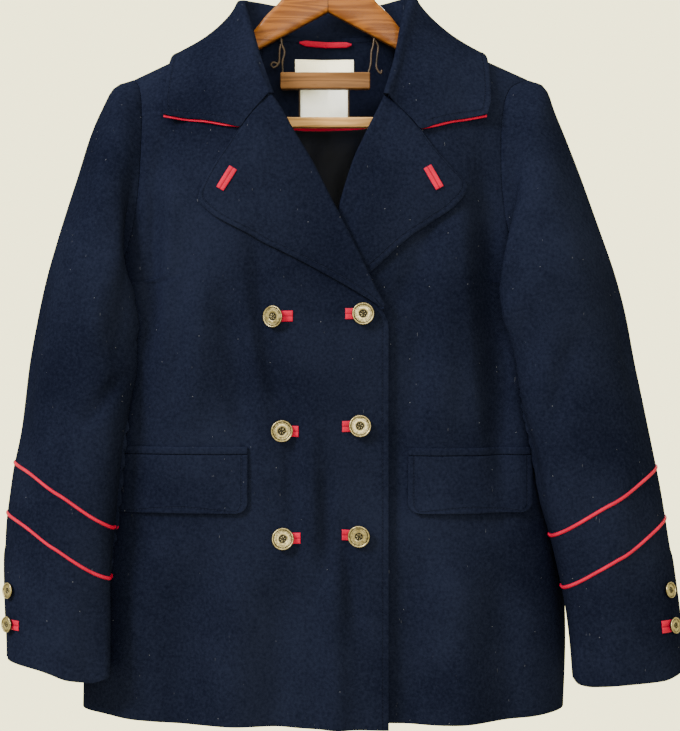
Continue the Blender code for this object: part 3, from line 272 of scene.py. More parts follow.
# Troughs and ridges of the hanging cloth, from their top to their low end
FOLDS = Table("face x_top z_top x_low z_low bow width rise", (
    (-1, -0.183, -0.270, -0.190, -0.520, 0.004, 0.010, -0.0088),
    (-1, -0.168, -0.300, -0.172, -0.560, 0.000, 0.011, 0.0049),
    (-1, 0.160, -0.235, 0.184, -0.700, 0.006, 0.016, -0.0156),
    (-1, 0.139, -0.300, 0.160, -0.620, 0.000, 0.012, 0.0053),
    (-1, -0.078, -0.340, -0.040, -0.585, -0.006, 0.013, -0.0080),
    (-1, -0.110, -0.400, -0.082, -0.620, 0.000, 0.015, -0.0073),
    (-1, -0.095, -0.400, -0.062, -0.600, 0.000, 0.010, 0.0039),
    (-1, -0.138, -0.380, -0.146, -0.600, 0.004, 0.018, 0.0079),
    (-1, 0.128, -0.330, 0.118, -0.600, 0.004, 0.020, 0.0079),
    (-1, 0.098, -0.420, 0.090, -0.600, 0.000, 0.013, -0.0044),
    (-1, -0.040, -0.560, -0.036, -0.690, 0.000, 0.008, -0.0046),
    (-1, -0.020, -0.530, -0.018, -0.740, 0.002, 0.010, 0.0056),
    (-1, -0.002, -0.600, 0.002, -0.740, 0.000, 0.008, -0.0049),
    (-1, 0.004, -0.690, 0.010, -0.900, 0.000, 0.014, 0.0079),
    (-1, 0.014, -0.650, 0.034, -0.800, 0.000, 0.009, -0.0059),
    (-1, -0.040, -0.700, -0.052, -0.900, 0.000, 0.020, -0.0053),
    (-1, -0.090, -0.680, -0.098, -0.900, 0.000, 0.022, 0.0063),
    (-1, -0.140, -0.690, -0.158, -0.900, 0.000, 0.024, -0.0070),
    (-1, -0.200, -0.680, -0.214, -0.900, 0.000, 0.020, 0.0063),
    (-1, 0.090, -0.680, 0.086, -0.900, 0.000, 0.020, -0.0053),
    (-1, 0.130, -0.680, 0.146, -0.900, 0.000, 0.024, 0.0084),
    (-1, 0.180, -0.690, 0.196, -0.900, 0.000, 0.020, -0.0070),
    (-1, -0.150, -0.215, -0.184, -0.330, -0.004, 0.012, -0.0046),
    (-1, 0.120, -0.330, 0.060, -0.470, 0.006, 0.014, -0.0046),
    (1, -0.120, -0.250, -0.160, -0.900, 0.000, 0.030, 0.0088),
    (1, 0.110, -0.270, 0.150, -0.900, 0.000, 0.028, 0.0075),
    (1, -0.030, -0.400, -0.050, -0.900, 0.008, 0.030, 0.0063),
    (1, 0.045, -0.300, 0.055, -0.900, 0.000, 0.024, -0.0063),
    (1, -0.085, -0.330, -0.100, -0.900, 0.006, 0.018, -0.0063),
    (1, -0.176, -0.240, -0.200, -0.620, -0.006, 0.014, -0.0075),
    (1, 0.166, -0.240, 0.184, -0.640, 0.006, 0.014, -0.0075),
    (1, 0.000, -0.210, 0.010, -0.420, 0.000, 0.030, -0.0053),
    (1, 0.100, -0.560, 0.105, -0.900, 0.000, 0.016, -0.0070),
    (1, -0.060, -0.215, -0.130, -0.330, 0.006, 0.014, -0.0042),
    (1, 0.064, -0.215, 0.130, -0.340, -0.006, 0.014, -0.0046),
))
# The fronts' inner edge along the neck above the lapels, by height
NECK_EDGE = Table("z x", (
    (-0.1900, 0.0765),
    (-0.1600, 0.0868),
    (-0.1390, 0.0925),
))
# Each lapel's roll line and outer edge, from the collar (0) to the break (1)
LAPELS = {
    Panel.RIGHT: Table("at roll_x roll_z edge_x edge_z", (
        (0.00, -0.0565, -0.2285, -0.0920, -0.2615),
        (0.10, -0.0465, -0.2440, -0.1060, -0.2820),
        (0.22, -0.0380, -0.2600, -0.1235, -0.3080),
        (0.32, -0.0285, -0.2760, -0.1345, -0.3330),
        (0.42, -0.0165, -0.2960, -0.1220, -0.3480),
        (0.56, 0.0060, -0.3400, -0.0700, -0.3770),
        (0.70, 0.0245, -0.3750, -0.0130, -0.4070),
        (0.84, 0.0430, -0.4110, 0.0330, -0.4330),
        (0.94, 0.0560, -0.4370, 0.0530, -0.4460),
        (1.00, 0.0630, -0.4510, 0.0605, -0.4530),
    )),
    Panel.LEFT: Table("at roll_x roll_z edge_x edge_z", (
        (0.00, 0.0580, -0.2290, 0.0985, -0.2620),
        (0.10, 0.0520, -0.2420, 0.1120, -0.2810),
        (0.22, 0.0440, -0.2580, 0.1310, -0.3030),
        (0.32, 0.0370, -0.2730, 0.1455, -0.3210),
        (0.42, 0.0290, -0.2900, 0.1345, -0.3400),
        (0.56, 0.0150, -0.3330, 0.0890, -0.3710),
        (0.70, 0.0060, -0.3680, 0.0480, -0.4080),
        (0.84, -0.0060, -0.4080, 0.0160, -0.4350),
        (1.00, -0.0180, -0.4480, -0.0080, -0.4530),
    )),
}
# Each half of the collar, from its front end (0) to the middle of the back (1)
COLLARS = {
    Panel.RIGHT: Table("at roll_x roll_y roll_z edge_x edge_y edge_z seam_x seam_z facing", (
        (0.00, 0.0565, -0.0660, -0.2225, 0.1740, -0.053, -0.2420, 0.0640, -0.2268, -90),
        (0.16, 0.0690, -0.0490, -0.1860, 0.1745, -0.044, -0.2240, 0.0757, -0.1880, -75),
        (0.32, 0.0830, -0.0280, -0.1400, 0.1725, -0.028, -0.1970, 0.0868, -0.1540, -55),
        (0.48, 0.0935, 0.0020, -0.1080, 0.1680, 0.002, -0.1680, 0.0925, -0.1390, 0),
        (0.66, 0.0770, 0.0330, -0.1025, 0.1400, 0.052, -0.1760, 0.0790, -0.1418, 55),
        (0.84, 0.0420, 0.0460, -0.1045, 0.0780, 0.056, -0.1840, 0.0420, -0.1458, 80),
        (1.00, 0.0000, 0.0490, -0.1055, 0.0000, 0.056, -0.1860, 0.0000, -0.1465, 90),
    )),
    Panel.LEFT: Table("at roll_x roll_y roll_z edge_x edge_y edge_z seam_x seam_z facing", (
        (0.00, 0.0595, -0.0660, -0.2225, 0.1690, -0.053, -0.2420, 0.0665, -0.2268, -90),
        (0.16, 0.0700, -0.0490, -0.1860, 0.1735, -0.044, -0.2240, 0.0767, -0.1880, -75),
        (0.32, 0.0790, -0.0280, -0.1400, 0.1740, -0.028, -0.1970, 0.0868, -0.1540, -55),
        (0.48, 0.0900, 0.0020, -0.1030, 0.1700, 0.002, -0.1670, 0.0925, -0.1390, 0),
        (0.66, 0.0770, 0.0330, -0.1000, 0.1400, 0.052, -0.1760, 0.0790, -0.1418, 55),
        (0.84, 0.0420, 0.0460, -0.1040, 0.0780, 0.056, -0.1840, 0.0420, -0.1458, 80),
        (1.00, 0.0000, 0.0490, -0.1055, 0.0000, 0.056, -0.1860, 0.0000, -0.1465, 90),
    )),
}
# Rings down each sleeve; x is measured outwards from the coat's middle on both sides.
SLEEVES = {
    Panel.RIGHT: Table("at out_x out_z in_x in_z mid_y half_y lean tuck", (
        (0.03, 0.2290, -0.2045, 0.2430, -0.4210, 0.000, 0.049, 0.000, -0.026),
        (0.09, 0.2505, -0.2394, 0.2230, -0.4290, -0.006, 0.057, 0.006, -0.020),
        (0.18, 0.2730, -0.3077, 0.2020, -0.4420, -0.012, 0.063, 0.010, -0.014),
        (0.27, 0.2936, -0.3734, 0.1960, -0.4620, -0.018, 0.065, 0.014, -0.004),
        (0.37, 0.3108, -0.4378, 0.2005, -0.4920, -0.020, 0.062, 0.016, 0.000),
        (0.47, 0.3230, -0.5100, 0.2035, -0.5350, -0.026, 0.058, 0.018, 0.000),
        (0.56, 0.3290, -0.5700, 0.2080, -0.5850, -0.033, 0.053, 0.018, 0.000),
        (0.65, 0.3375, -0.6250, 0.2125, -0.6380, -0.042, 0.048, 0.016, 0.000),
        (0.76, 0.3425, -0.6900, 0.2190, -0.7000, -0.052, 0.043, 0.014, 0.000),
        (0.88, 0.3435, -0.7580, 0.2245, -0.7660, -0.061, 0.038, 0.011, 0.000),
        (1.00, 0.3423, -0.8190, 0.2275, -0.8280, -0.067, 0.034, 0.009, 0.000),
    )),
    Panel.LEFT: Table("at out_x out_z in_x in_z mid_y half_y lean tuck", (
        (0.03, 0.2330, -0.2045, 0.2270, -0.4210, 0.000, 0.049, 0.000, -0.024),
        (0.09, 0.2500, -0.2394, 0.2080, -0.4290, -0.006, 0.057, 0.006, -0.016),
        (0.18, 0.2740, -0.3020, 0.1860, -0.4420, -0.012, 0.063, 0.010, -0.012),
        (0.27, 0.2994, -0.3734, 0.1770, -0.4620, -0.018, 0.065, 0.014, -0.004),
        (0.37, 0.3190, -0.4378, 0.1826, -0.4950, -0.020, 0.062, 0.014, 0.000),
        (0.47, 0.3330, -0.5100, 0.1925, -0.5450, -0.026, 0.058, 0.016, 0.000),
        (0.56, 0.3440, -0.5700, 0.2080, -0.5900, -0.033, 0.053, 0.016, 0.000),
        (0.65, 0.3545, -0.6300, 0.2220, -0.6430, -0.040, 0.048, 0.014, 0.000),
        (0.76, 0.3637, -0.6945, 0.2360, -0.7000, -0.048, 0.043, 0.012, 0.000),
        (0.88, 0.3710, -0.7600, 0.2465, -0.7700, -0.056, 0.038, 0.010, 0.000),
        (1.00, 0.3765, -0.8240, 0.2515, -0.8340, -0.062, 0.034, 0.008, 0.000),
    )),
}
# How far each cuff's edge hangs up or down, from its outer fold (0) to its inner one (1)
CUFFS = {
    Panel.RIGHT: Table("share rise", (
        (0.00, 0.0065), (0.20, 0.0050), (0.43, 0.0020), (0.66, -0.0055), (0.88, -0.0070),
        (1.00, -0.0010),
    )),
    Panel.LEFT: Table("share rise", (
        (0.00, 0.0010), (0.10, -0.0045), (0.25, -0.0075), (0.55, -0.0065), (0.80, -0.0070),
        (0.94, -0.0045), (1.00, 0.0000),
    )),
}
# How far the inner side of each sleeve is drawn away from the body, and how far its front rolls in
# over the armhole's seam
HOLLOWS = {
    Panel.RIGHT: Table("at out lap", ((0.0, 0.0, 0.0), (1.0, 0.0, 0.0))),
    Panel.LEFT: Table("at out lap", (
        (0.00, 0.0000, 0.0000), (0.03, -0.0030, 0.0065), (0.07, -0.0038, 0.0150),
        (0.11, -0.0025, 0.0185), (0.15, 0.0000, 0.0155), (0.20, 0.0050, 0.0095),
        (0.26, 0.0095, 0.0045), (0.32, 0.0115, 0.0010), (0.40, 0.0090, 0.0000),
        (0.52, 0.0035, 0.0000), (0.66, 0.0000, 0.0000), (1.00, 0.0000, 0.0000),
    )),
}
# The red cords: name, height at the outer and the inner seam, how far each hangs below a line
CORDS = {
    Panel.RIGHT: (("upper", -0.6110, -0.6780, -0.055), ("lower", -0.6635, -0.7296, -0.020)),
    Panel.LEFT: (("upper", -0.6154, -0.6862, 0.01), ("lower", -0.6687, -0.7400, 0.03)),
}
# How strongly the cords bend up near the outer seam and down near the inner one
SWAYS = {Panel.RIGHT: -0.055, Panel.LEFT: -0.015}
# Creases of each sleeve: turn in degrees round it from its outer seam, share down it
CREASES = {
    Panel.RIGHT: Table("turn_top at_top turn_low at_low width rise", (
        (118, 0.06, 140, 0.50, 15, -0.0050),
        (60, 0.03, 78, 0.40, 20, 0.0048),
        (96, 0.16, 104, 0.46, 12, 0.0042),
        (150, 0.42, 100, 0.56, 12, -0.0042),
        (172, 0.22, 168, 0.50, 12, 0.0048),
        (184, 0.42, 180, 0.98, 34, -0.0062),
        (2, 0.72, 2, 1.60, 34, -0.0066),
        (64, 0.50, 96, 0.80, 16, 0.0038),
        (34, 0.30, 30, 0.64, 13, -0.0042),
        (124, 0.62, 132, 1.20, 20, -0.0038),
        (166, 0.74, 164, 1.20, 12, 0.0045),
        (250, 0.05, 236, 0.55, 16, -0.0050),
        (296, 0.10, 290, 0.60, 20, 0.0054),
        (262, 0.50, 300, 0.80, 16, -0.0045),
        (230, 0.66, 226, 1.20, 16, 0.0042),
    )),
    Panel.LEFT: Table("turn_top at_top turn_low at_low width rise", (
        (112, 0.05, 134, 0.46, 14, -0.0056),
        (66, 0.03, 80, 0.44, 20, 0.0051),
        (146, 0.10, 158, 0.40, 12, 0.0054),
        (84, 0.36, 128, 0.56, 13, -0.0042),
        (36, 0.26, 34, 0.60, 13, -0.0042),
        (166, 0.36, 168, 0.70, 11, -0.0042),
        (70, 0.56, 100, 0.84, 16, 0.0035),
        (120, 0.60, 128, 1.20, 18, -0.0038),
        (248, 0.05, 238, 0.50, 16, -0.0050),
        (292, 0.08, 296, 0.56, 20, 0.0054),
        (266, 0.46, 304, 0.78, 16, -0.0045),
        (232, 0.70, 228, 1.20, 16, 0.0042),
        (182, 0.66, 182, 1.40, 34, -0.0040),
    )),
}


def sides(z: Array) -> tuple[Array, Array]:
    """Where the body's right and left sides lie at some heights."""
    return SHAPE.read("right", z), SHAPE.read("left", z)


@dataclass(frozen=True)
class BodyForm:
    """The coat's body: a flattened oval tube that closes to a ridge at the shoulders."""

    square: float = 2.7
    open_depth: float = 0.17
    open_round: float = 1.7
    neck_x: float = 0.0925
    neck_z: float = -0.1390
    back_neck_z: float = -0.1465
    left_x: float = 0.2185
    right_x: float = -0.2120
    shoulder_z: float = -0.1955
    armpit_z: float = -0.420
    hem_front_z: float = -0.8840
    hem_side_z: float = -0.8770
    hem_turn_x: float = 0.12
    hem_side_x: float = 0.265
    cross_low_z: float = -0.150
    cross_high_z: float = -0.140
    over_from_x: float = -0.150
    over_to_x: float = -0.095
    under_from_x: float = 0.064
    under_to_x: float = 0.125
    top_lift: float = 0.0020
    under_lift: float = -0.0066
    front_edge_x: float = 0.0640
    under_edge_x: float = -0.0780
    front_bend: tuple[float, float] = (-0.004, 0.016)
    under_bend: tuple[float, float] = (0.006, 0.07)
    roll_setback: float = 0.0052
    rumple: float = 0.0026
    ripple: float = 0.0006

    def top_z(self, x: Array) -> Array:
        """Height of the shoulder seam's line above a place across the coat.

        Args:
            x: places across.

        Returns:
            The heights.
        """
        end = np.where(x > 0, self.left_x, -self.right_x)
        share = (np.abs(x) - self.neck_x) / (end - self.neck_x)
        return mixed(self.neck_z, self.shoulder_z, share)

    def collar_z(self, x: Array) -> Array:
        """The back panel's top edge: the neck curve between the shoulder seams."""
        curved = mixed(self.back_neck_z, self.neck_z, (np.abs(x) / self.neck_x) ** 3)
        return np.where(np.abs(x) >= self.neck_x, self.top_z(x), curved)

    def hem_z(self, x: Array) -> Array:
        """Height of the hem, a little lower at the front and back than at the sides."""
        return mixed(self.hem_front_z, self.hem_side_z,
                     eased(self.hem_turn_x, self.hem_side_x, np.abs(x)))

    def folds(self, x: Array, z: Array, face: float) -> Array:
        """How far the drape stands out at places on the front or the back.

        Args:
            x: places across.
            z: their heights.
            face: -1 on the front and 1 on the back.

        Returns:
            The lengths by which the cloth stands out.
        """
        total = np.zeros(np.shape(x))
        for side, x_top, z_top, x_low, z_low, bow, width, rise in FOLDS.rows:
            if side != face:
                continue
            down = (z_top - z) / (z_top - z_low)
            across = x - mixed(x_top, x_low, down) - bow * np.sin(math.pi * np.clip(down, 0, 1))
            ends = faded(down, z_low > self.hem_front_z)
            total += rise * ends * ridge(across, width)
        soft = self.rumple * drift(x * 9.0, z * 4.5, face * 3.0)
        return total + soft + self.ripple * drift(x * 34.0, z * 16.0, 7.0 + face)

    def lift(self, x: Array, z: Array, panel: Panel) -> Array:
        """How far a front lies above or below the plain body where the two fronts cross.

        Args:
            x: places across.
            z: their heights.
            panel: which panel of the body.

        Returns:
            The lengths, below zero where it lies under the other front.
        """
        low = 1.0 - eased(self.cross_low_z, self.cross_high_z, z)
        if panel is Panel.RIGHT:
            return self.top_lift * eased(self.over_from_x, self.over_to_x, x) * low
        if panel is Panel.LEFT:
            return self.under_lift * (1.0 - eased(self.under_from_x, self.under_to_x, x)) * low
        return np.zeros(np.shape(x))

    def point(self, x: Array, z: Array, panel: Panel) -> Array:
        """Points on the outer face of a body panel, at places seen from the front.

        Args:
            x: places across.
            z: their heights.
            panel: which panel of the body.

        Returns:
            The points.
        """
        x, z = np.broadcast_arrays(np.asarray(x, float), np.asarray(z, float))
        right, left = sides(z)
        depth = SHAPE.read("back" if panel is Panel.BACK else "front", z)
        share = np.minimum(1.0, np.abs(x - (left + right) / 2) / ((left - right) / 2))
        across = (1.0 - share**self.square) ** (1.0 / self.square)
        below = np.clip((self.top_z(x) - z) / self.open_depth, 0.0, 1.0)
        opened = (1.0 - (1.0 - below) ** self.open_round) ** (1.0 / self.open_round)
        ends = (1.0 - share**8) * eased(0.0, 0.35, below)
        drape = self.folds(x, z, panel.face) + self.lift(x, z, panel)
        out = depth * across * opened + drape * ends
        return np.stack([x, panel.face * out, z], axis=-1)

    def normal(self, x: Array, z: Array, panel: Panel) -> Array:
        """The outward directions of a body panel, measured on its surface.

        Args:
            x: places across.
            z: their heights.
            panel: which panel of the body.

        Returns:
            The directions, each one long.
        """
        step = 0.002
        along_x = self.point(x + step, z, panel) - self.point(x - step, z, panel)
        along_z = self.point(x, z + step, panel) - self.point(x, z - step, panel)
        return unit(np.cross(along_x, along_z)) * -panel.face

    def laid(self, x: Array, z: Array, panel: Panel, out: Array) -> Array:
        """Points of what lies on a body panel, moved out from the panel's face."""
        out = np.asarray(out, float)[..., None]
        return self.point(x, z, panel) + self.normal(x, z, panel) * out

    def front_edge(self, z: Array, panel: Panel) -> Array:
        """The inner edge of a front: its button edge, then just inside the roll, then the neck.

        Args:
            z: heights.
            panel: which front.

        Returns:
            Where the edge lies across.
        """
        sign = -panel.sign
        lapel = LAPELS[panel]
        keys = np.concatenate([lapel.column("roll_z")[::-1], NECK_EDGE.column("z")])
        rolls = lapel.column("roll_x")[::-1] - sign * self.roll_setback
        edges = np.concatenate([rolls, -sign * NECK_EDGE.column("x")])
        z = np.asarray(z, float)
        above = curve(keys, edges, z.ravel()).reshape(z.shape)
        if panel is Panel.RIGHT:
            below = mixed(edges[0], self.front_edge_x, eased(*self.front_bend, keys[0] - z))
        else:
            below = mixed(edges[0], self.under_edge_x, eased(*self.under_bend, keys[0] - z))
        return np.where(z >= keys[0], above, below)


COAT = BodyForm()


@dataclass(frozen=True)
class SleeveForm:
    """One sleeve: rings that run from the armhole to the cuff."""

    side: Panel
    ring_power: float = 2.2
    outer_seam: float = math.radians(-12)
    inner_seam: float = math.radians(204)
    clearance: float = 0.0060
    armpit_clearance: float = 0.0028
    pivot_reach: float = 0.080
    vent_height: float = 0.107
    vent_turn: float = math.radians(14)
    vent_lift: float = 0.0034
    head_roll: float = 0.0022
    head_at: float = 0.035
    head_width: float = 0.022
    lap_turn: float = math.radians(118)
    lap_width: float = math.radians(34)
    lap_lift: float = 0.15
    rumple: float = 0.0017
    ripple: float = 0.0004

    def lines(self, turn: Array) -> tuple[Array, Array]:
        """The lengthwise lines of the sleeve at some turns.

        Args:
            turn: angles round the sleeve, 0 at its outer fold and front first.

        Returns:
            The shares down the sleeve, and the points there of each line.
        """
        share = (1.0 - np.cos(turn)) / 2.0
        z = mixed(COAT.shoulder_z, COAT.armpit_z, share)
        x = ARMHOLE.read(self.side.value, z)
        front = np.sin(turn)[:, None] >= 0
        hole = np.where(front, COAT.point(x, z, self.side), COAT.point(x, z, Panel.BACK))
        table = SLEEVES[self.side]
        col = {name: table.column(name)[:, None] for name in table.columns.split()}
        sign = self.side.sign
        out = np.stack([sign * col["out_x"], col["mid_y"] + col["lean"], col["out_z"]], -1)
        inner = np.stack([sign * col["in_x"], col["mid_y"] - col["lean"], col["in_z"]], -1)

        def power(value: Array) -> Array:
            """The ring's squareness, applied to a sine or cosine."""
            return (np.sign(value) * np.abs(value) ** (2.0 / self.ring_power))[None, :, None]

        flat = np.zeros_like(col["half_y"])
        deep = np.stack([flat, -col["half_y"], flat], -1)
        tuck = np.stack([sign * col["tuck"], flat, flat], -1) * (np.sin(turn) ** 2)[None, :, None]
        rings = (out + inner) / 2 + (out - inner) / 2 * power(np.cos(turn))
        rings = rings + deep * power(np.sin(turn)) + tuck
        keys = np.concatenate([[0.0], table.column("at")])
        return keys, np.concatenate([hole[None], rings])

    def cleared(self, point: Array, gap: Array) -> Array:
        """Moves sleeve points that would lie in the body out to its face.

        Args:
            point: points, one a row.
            gap: how far each has to stay off the body.

        Returns:
            The points, moved straight out from inside the body.
        """
        x, y, z = point[:, 0], point[:, 1], point[:, 2]
        right, left = sides(z)
        middle = (left + right) / 2
        half = (left - right) / 2 + gap
        pivot = middle + np.copysign(half - self.pivot_reach, x - middle)
        depth = np.where(y < 0, SHAPE.read("front", z), SHAPE.read("back", z)) + gap + 0.001

        def inside(scale: Array) -> Array:
            """Below zero where a point so far from the pivot is in the body."""
            across = (np.abs(pivot + (x - pivot) * scale - middle) / half) ** COAT.square
            return across + (np.abs(y * scale) / depth) ** COAT.square - 1.0

        one = np.ones(len(x))
        _, out = bisected(one, one * 40.0, 40, lambda scale: inside(scale) < 0)
        moved = np.stack([pivot + (x - pivot) * out, y * out, z], -1)
        return np.where((inside(one) < 0)[:, None], moved, point)

    def plain(self, turn: Array, at: Array) -> Array:
        """Points on the sleeve without its creases, at turns round it and shares down it.

        Args:
            turn: angles round the sleeve, 0 at its outer fold and front first.
            at: shares down it.

        Returns:
            The points.
        """
        turn, at = np.broadcast_arrays(np.asarray(turn, float), np.asarray(at, float))
        shape, turn, at = turn.shape, turn.ravel(), at.ravel()
        keys, lines = self.lines(turn)
        point = curve(keys, lines, at, own=True)
        z = point[:, 2]
        gap = mixed(self.armpit_clearance, self.clearance, eased(0.0, 0.02, COAT.armpit_z - z))
        low = (z < COAT.armpit_z) & (at > 0)
        point = np.where(low[:, None], self.cleared(point, gap), point)
        covers = np.abs(point[:, 0]) < np.abs(ARMHOLE.read(self.side.value, z))
        front = COAT.point(point[:, 0], z, self.side)[:, 1]
        back = COAT.point(point[:, 0], z, Panel.BACK)[:, 1]
        y = point[:, 1]
        least = np.abs(np.where(y < 0, front, back)) + self.clearance * eased(0.0, 0.04, at)
        tight = covers & ~low & (at > 0) & (np.abs(y) < least)
        point[:, 1] = np.where(tight, np.copysign(least, y), y)
        return point.reshape(*shape, 3)

    def normal(self, turn: Array, at: Array) -> Array:
        """The outward directions of the sleeve's face.

        Args:
            turn: angles round the sleeve, 0 at its outer fold and front first.
            at: shares down it.

        Returns:
            The directions, each one long.
        """
        around = self.plain(turn + 0.03, at) - self.plain(turn - 0.03, at)
        down = self.plain(turn, np.minimum(1.0, at + 0.01)) - self.plain(turn, at - 0.01)
        return unit(np.cross(around, down)) * self.side.sign

    def creases(self, turn: Array, at: Array) -> Array:
        """How far the sleeve's creases and its rolled head stand out.

        Args:
            turn: angles round the sleeve, 0 at its outer fold and front first.
            at: shares down it.

        Returns:
            The lengths by which the cloth stands out.
        """
        total = np.zeros(np.shape(turn))
        for turn_top, at_top, turn_low, at_low, width, rise in CREASES[self.side].rows:
            down = (at - at_top) / (at_low - at_top)
            line = np.radians(mixed(turn_top, turn_low, down))
            across = np.mod(turn - line + math.pi, math.tau) - math.pi
            ends = faded(down, at_low <= 1.0)
            total += rise * ends * ridge(across, math.radians(width))
        head = self.head_roll * ridge(at - self.head_at, self.head_width)
        head = head * eased(-0.6, 0.3, np.cos(turn))
        seed = 11.0 + self.side.sign
        drifts = self.rumple * drift(np.cos(turn) * 0.9 + seed, at * 3.6, np.pi)
        drifts = drifts + self.ripple * drift(np.cos(turn) * 3.0 + np.sin(turn), at * 14.0, seed)
        return (total + drifts) * eased(0.0, 0.06, at) + head

    def vent_top(self) -> float:
        """Height at which the sleeve's vent begins."""
        return float(SLEEVES[self.side].column("out_z")[-1]) + self.vent_height

    def start(self, at: Array) -> Array:
        """The turn of the upper sleeve's outer edge, which laps over below the vent's top."""
        z = self.plain(np.full(np.shape(at), self.outer_seam), at)[..., 2]
        return self.outer_seam - self.vent_turn * (1.0 - eased(-0.009, 0.001, z - self.vent_top()))

    def face(self, turn: Array, at: Array, out: Array = 0.0, upper: bool = True) -> Array:
        """Points on the creased sleeve, or on what lies on it.

        Args:
            turn: angles round the sleeve.
            at: shares down it.
            out: lengths to move the points out.
            upper: whether they lie on the upper sleeve, which laps over at the vent.

        Returns:
            The points.
        """
        turn, at = np.broadcast_arrays(np.asarray(turn, float), np.asarray(at, float))
        point = self.plain(turn, at)
        move = self.creases(turn, at) + out
        if upper:
            low = 1.0 - eased(0.004, 0.018, point[..., 2] - self.vent_top())
            near = 1.0 - eased(self.outer_seam + 0.05, self.outer_seam + 0.5, turn)
            move = move + self.vent_lift * low * near
        placed_at = point + self.normal(turn, at) * move[..., None]
        inner = (1.0 - np.cos(turn)) / 2.0
        rise = CUFFS[self.side].read("rise", inner) * eased(-0.6, 0.2, np.sin(turn))
        placed_at[..., 2] += rise * eased(0.88, 1.0, at)
        hollow = HOLLOWS[self.side]
        placed_at[..., 0] += self.side.sign * hollow.read("out", at) * inner**2
        lap = hollow.read("lap", at) * ridge(turn - self.lap_turn, self.lap_width)
        placed_at[..., 0] -= self.side.sign * lap
        placed_at[..., 1] -= self.lap_lift * lap
        return placed_at

    def at_height(self, turn: Array, z: Array) -> Array:
        """How far down the sleeve its lines reach a height.

        Args:
            turn: angles round the sleeve, 0 at its outer fold and front first.
            z: the height wanted on each line.

        Returns:
            The shares down it.
        """
        turn, z = np.broadcast_arrays(np.asarray(turn, float), np.asarray(z, float))
        low, high = bisected(np.full(turn.shape, 0.1), np.ones(turn.shape), 24,
                             lambda at: self.plain(turn, at)[..., 2] > z)
        return (low + high) / 2


def evened(path: Array, keys: Array, count: int) -> Array:
    """Keys that cut a path in even lengths.

    Args:
        path: points along it.
        keys: the key of each point.
        count: how many keys to give.

    Returns:
        The keys, first to last.
    """
    reach = np.concatenate([[0.0], np.cumsum(np.linalg.norm(np.diff(path, axis=0), axis=1))])
    return np.interp(np.linspace(0.0, reach[-1], count), reach, keys)


def gridded(form: Form, rows: Array, columns: int) -> Array:
    """A grid of points with even steps along each row.

    Args:
        form: gives points for shares down and across.
        rows: the shares down.
        columns: how many points a row has.

    Returns:
        The points, row by row.
    """
    dense = (1.0 - np.cos(np.linspace(0.0, math.pi, 400))) / 2.0
    down, across = np.meshgrid(rows, dense, indexing="ij")
    paths = form(down, across)
    shares = np.stack([evened(path, dense, columns) for path in paths])
    return form(np.broadcast_to(rows[:, None], shares.shape), shares)


def even_rows(form: Form, count: int, across: float = 0.5) -> Array:
    """Shares down a form that step evenly along its middle."""
    dense = (1.0 - np.cos(np.linspace(0.0, math.pi, 600))) / 2.0
    return evened(form(dense, np.full(600, across)), dense, count)


def trimmed(grid: Array, low: Array, high: float, start: float, end: float) -> Array:
    """The grid with its edges drawn in by the given lengths, which leaves the seams' gaps.

    Args:
        grid: rows of points.
        low: how much the first row is drawn in, at each column or at all.
        high: how much the last row is.
        start: how much the first column is.
        end: how much the last column is.

    Returns:
        The grid with its new edges.
    """
    grid = grid.copy()
    lows = np.broadcast_to(np.asarray(low, float), grid.shape[1])[:, None]
    grid[0] += unit(grid[1] - grid[0]) * lows
    grid[-1] += unit(grid[-2] - grid[-1]) * high
    grid[:, 0] += unit(grid[:, 1] - grid[:, 0]) * start
    grid[:, -1] += unit(grid[:, -2] - grid[:, -1]) * end
    return grid


def refined(grid: Array, rows: int, columns: int) -> Array:
    """A coarse grid of points, read again on smooth curves with more rows and columns.

    Args:
        grid: the coarse rows of points.
        rows: how many rows to give.
        columns: how many columns.

    Returns:
        The finer grid.
    """
    for axis, count in ((0, rows), (1, columns)):
        lines = np.moveaxis(grid, axis, 0)
        steps = np.linalg.norm(np.diff(lines, axis=0), axis=-1).mean(axis=1)
        keys = np.concatenate([[0.0], np.cumsum(np.maximum(steps, 1e-5))])
        grid = np.moveaxis(curve(keys, lines, np.linspace(0.0, keys[-1], count)), 0, axis)
    return grid


def normals_of(grid: Array) -> Array:
    """The direction across each point of a grid, from its neighbours.

    Args:
        grid: rows of points.

    Returns:
        The directions, each one long.
    """
    down = np.gradient(grid, axis=0)
    over = np.gradient(grid, axis=1)
    return unit(np.cross(down, over))


def reaches(grid: Array) -> tuple[Array, Array, Array, Array]:
    """Lengths along the cloth from a grid's first column, last column, first row and last row.

    Args:
        grid: rows of points.

    Returns:
        The four lengths at each point, in that order.
    """
    over = np.linalg.norm(np.diff(grid, axis=1), axis=-1)
    down = np.linalg.norm(np.diff(grid, axis=0), axis=-1)
    start = np.concatenate([np.zeros((len(grid), 1)), np.cumsum(over, axis=1)], axis=1)
    low = np.concatenate([np.zeros((1, grid.shape[1])), np.cumsum(down, axis=0)], axis=0)
    return start, start[:, -1:] - start, low, low[-1:] - low


# Materials


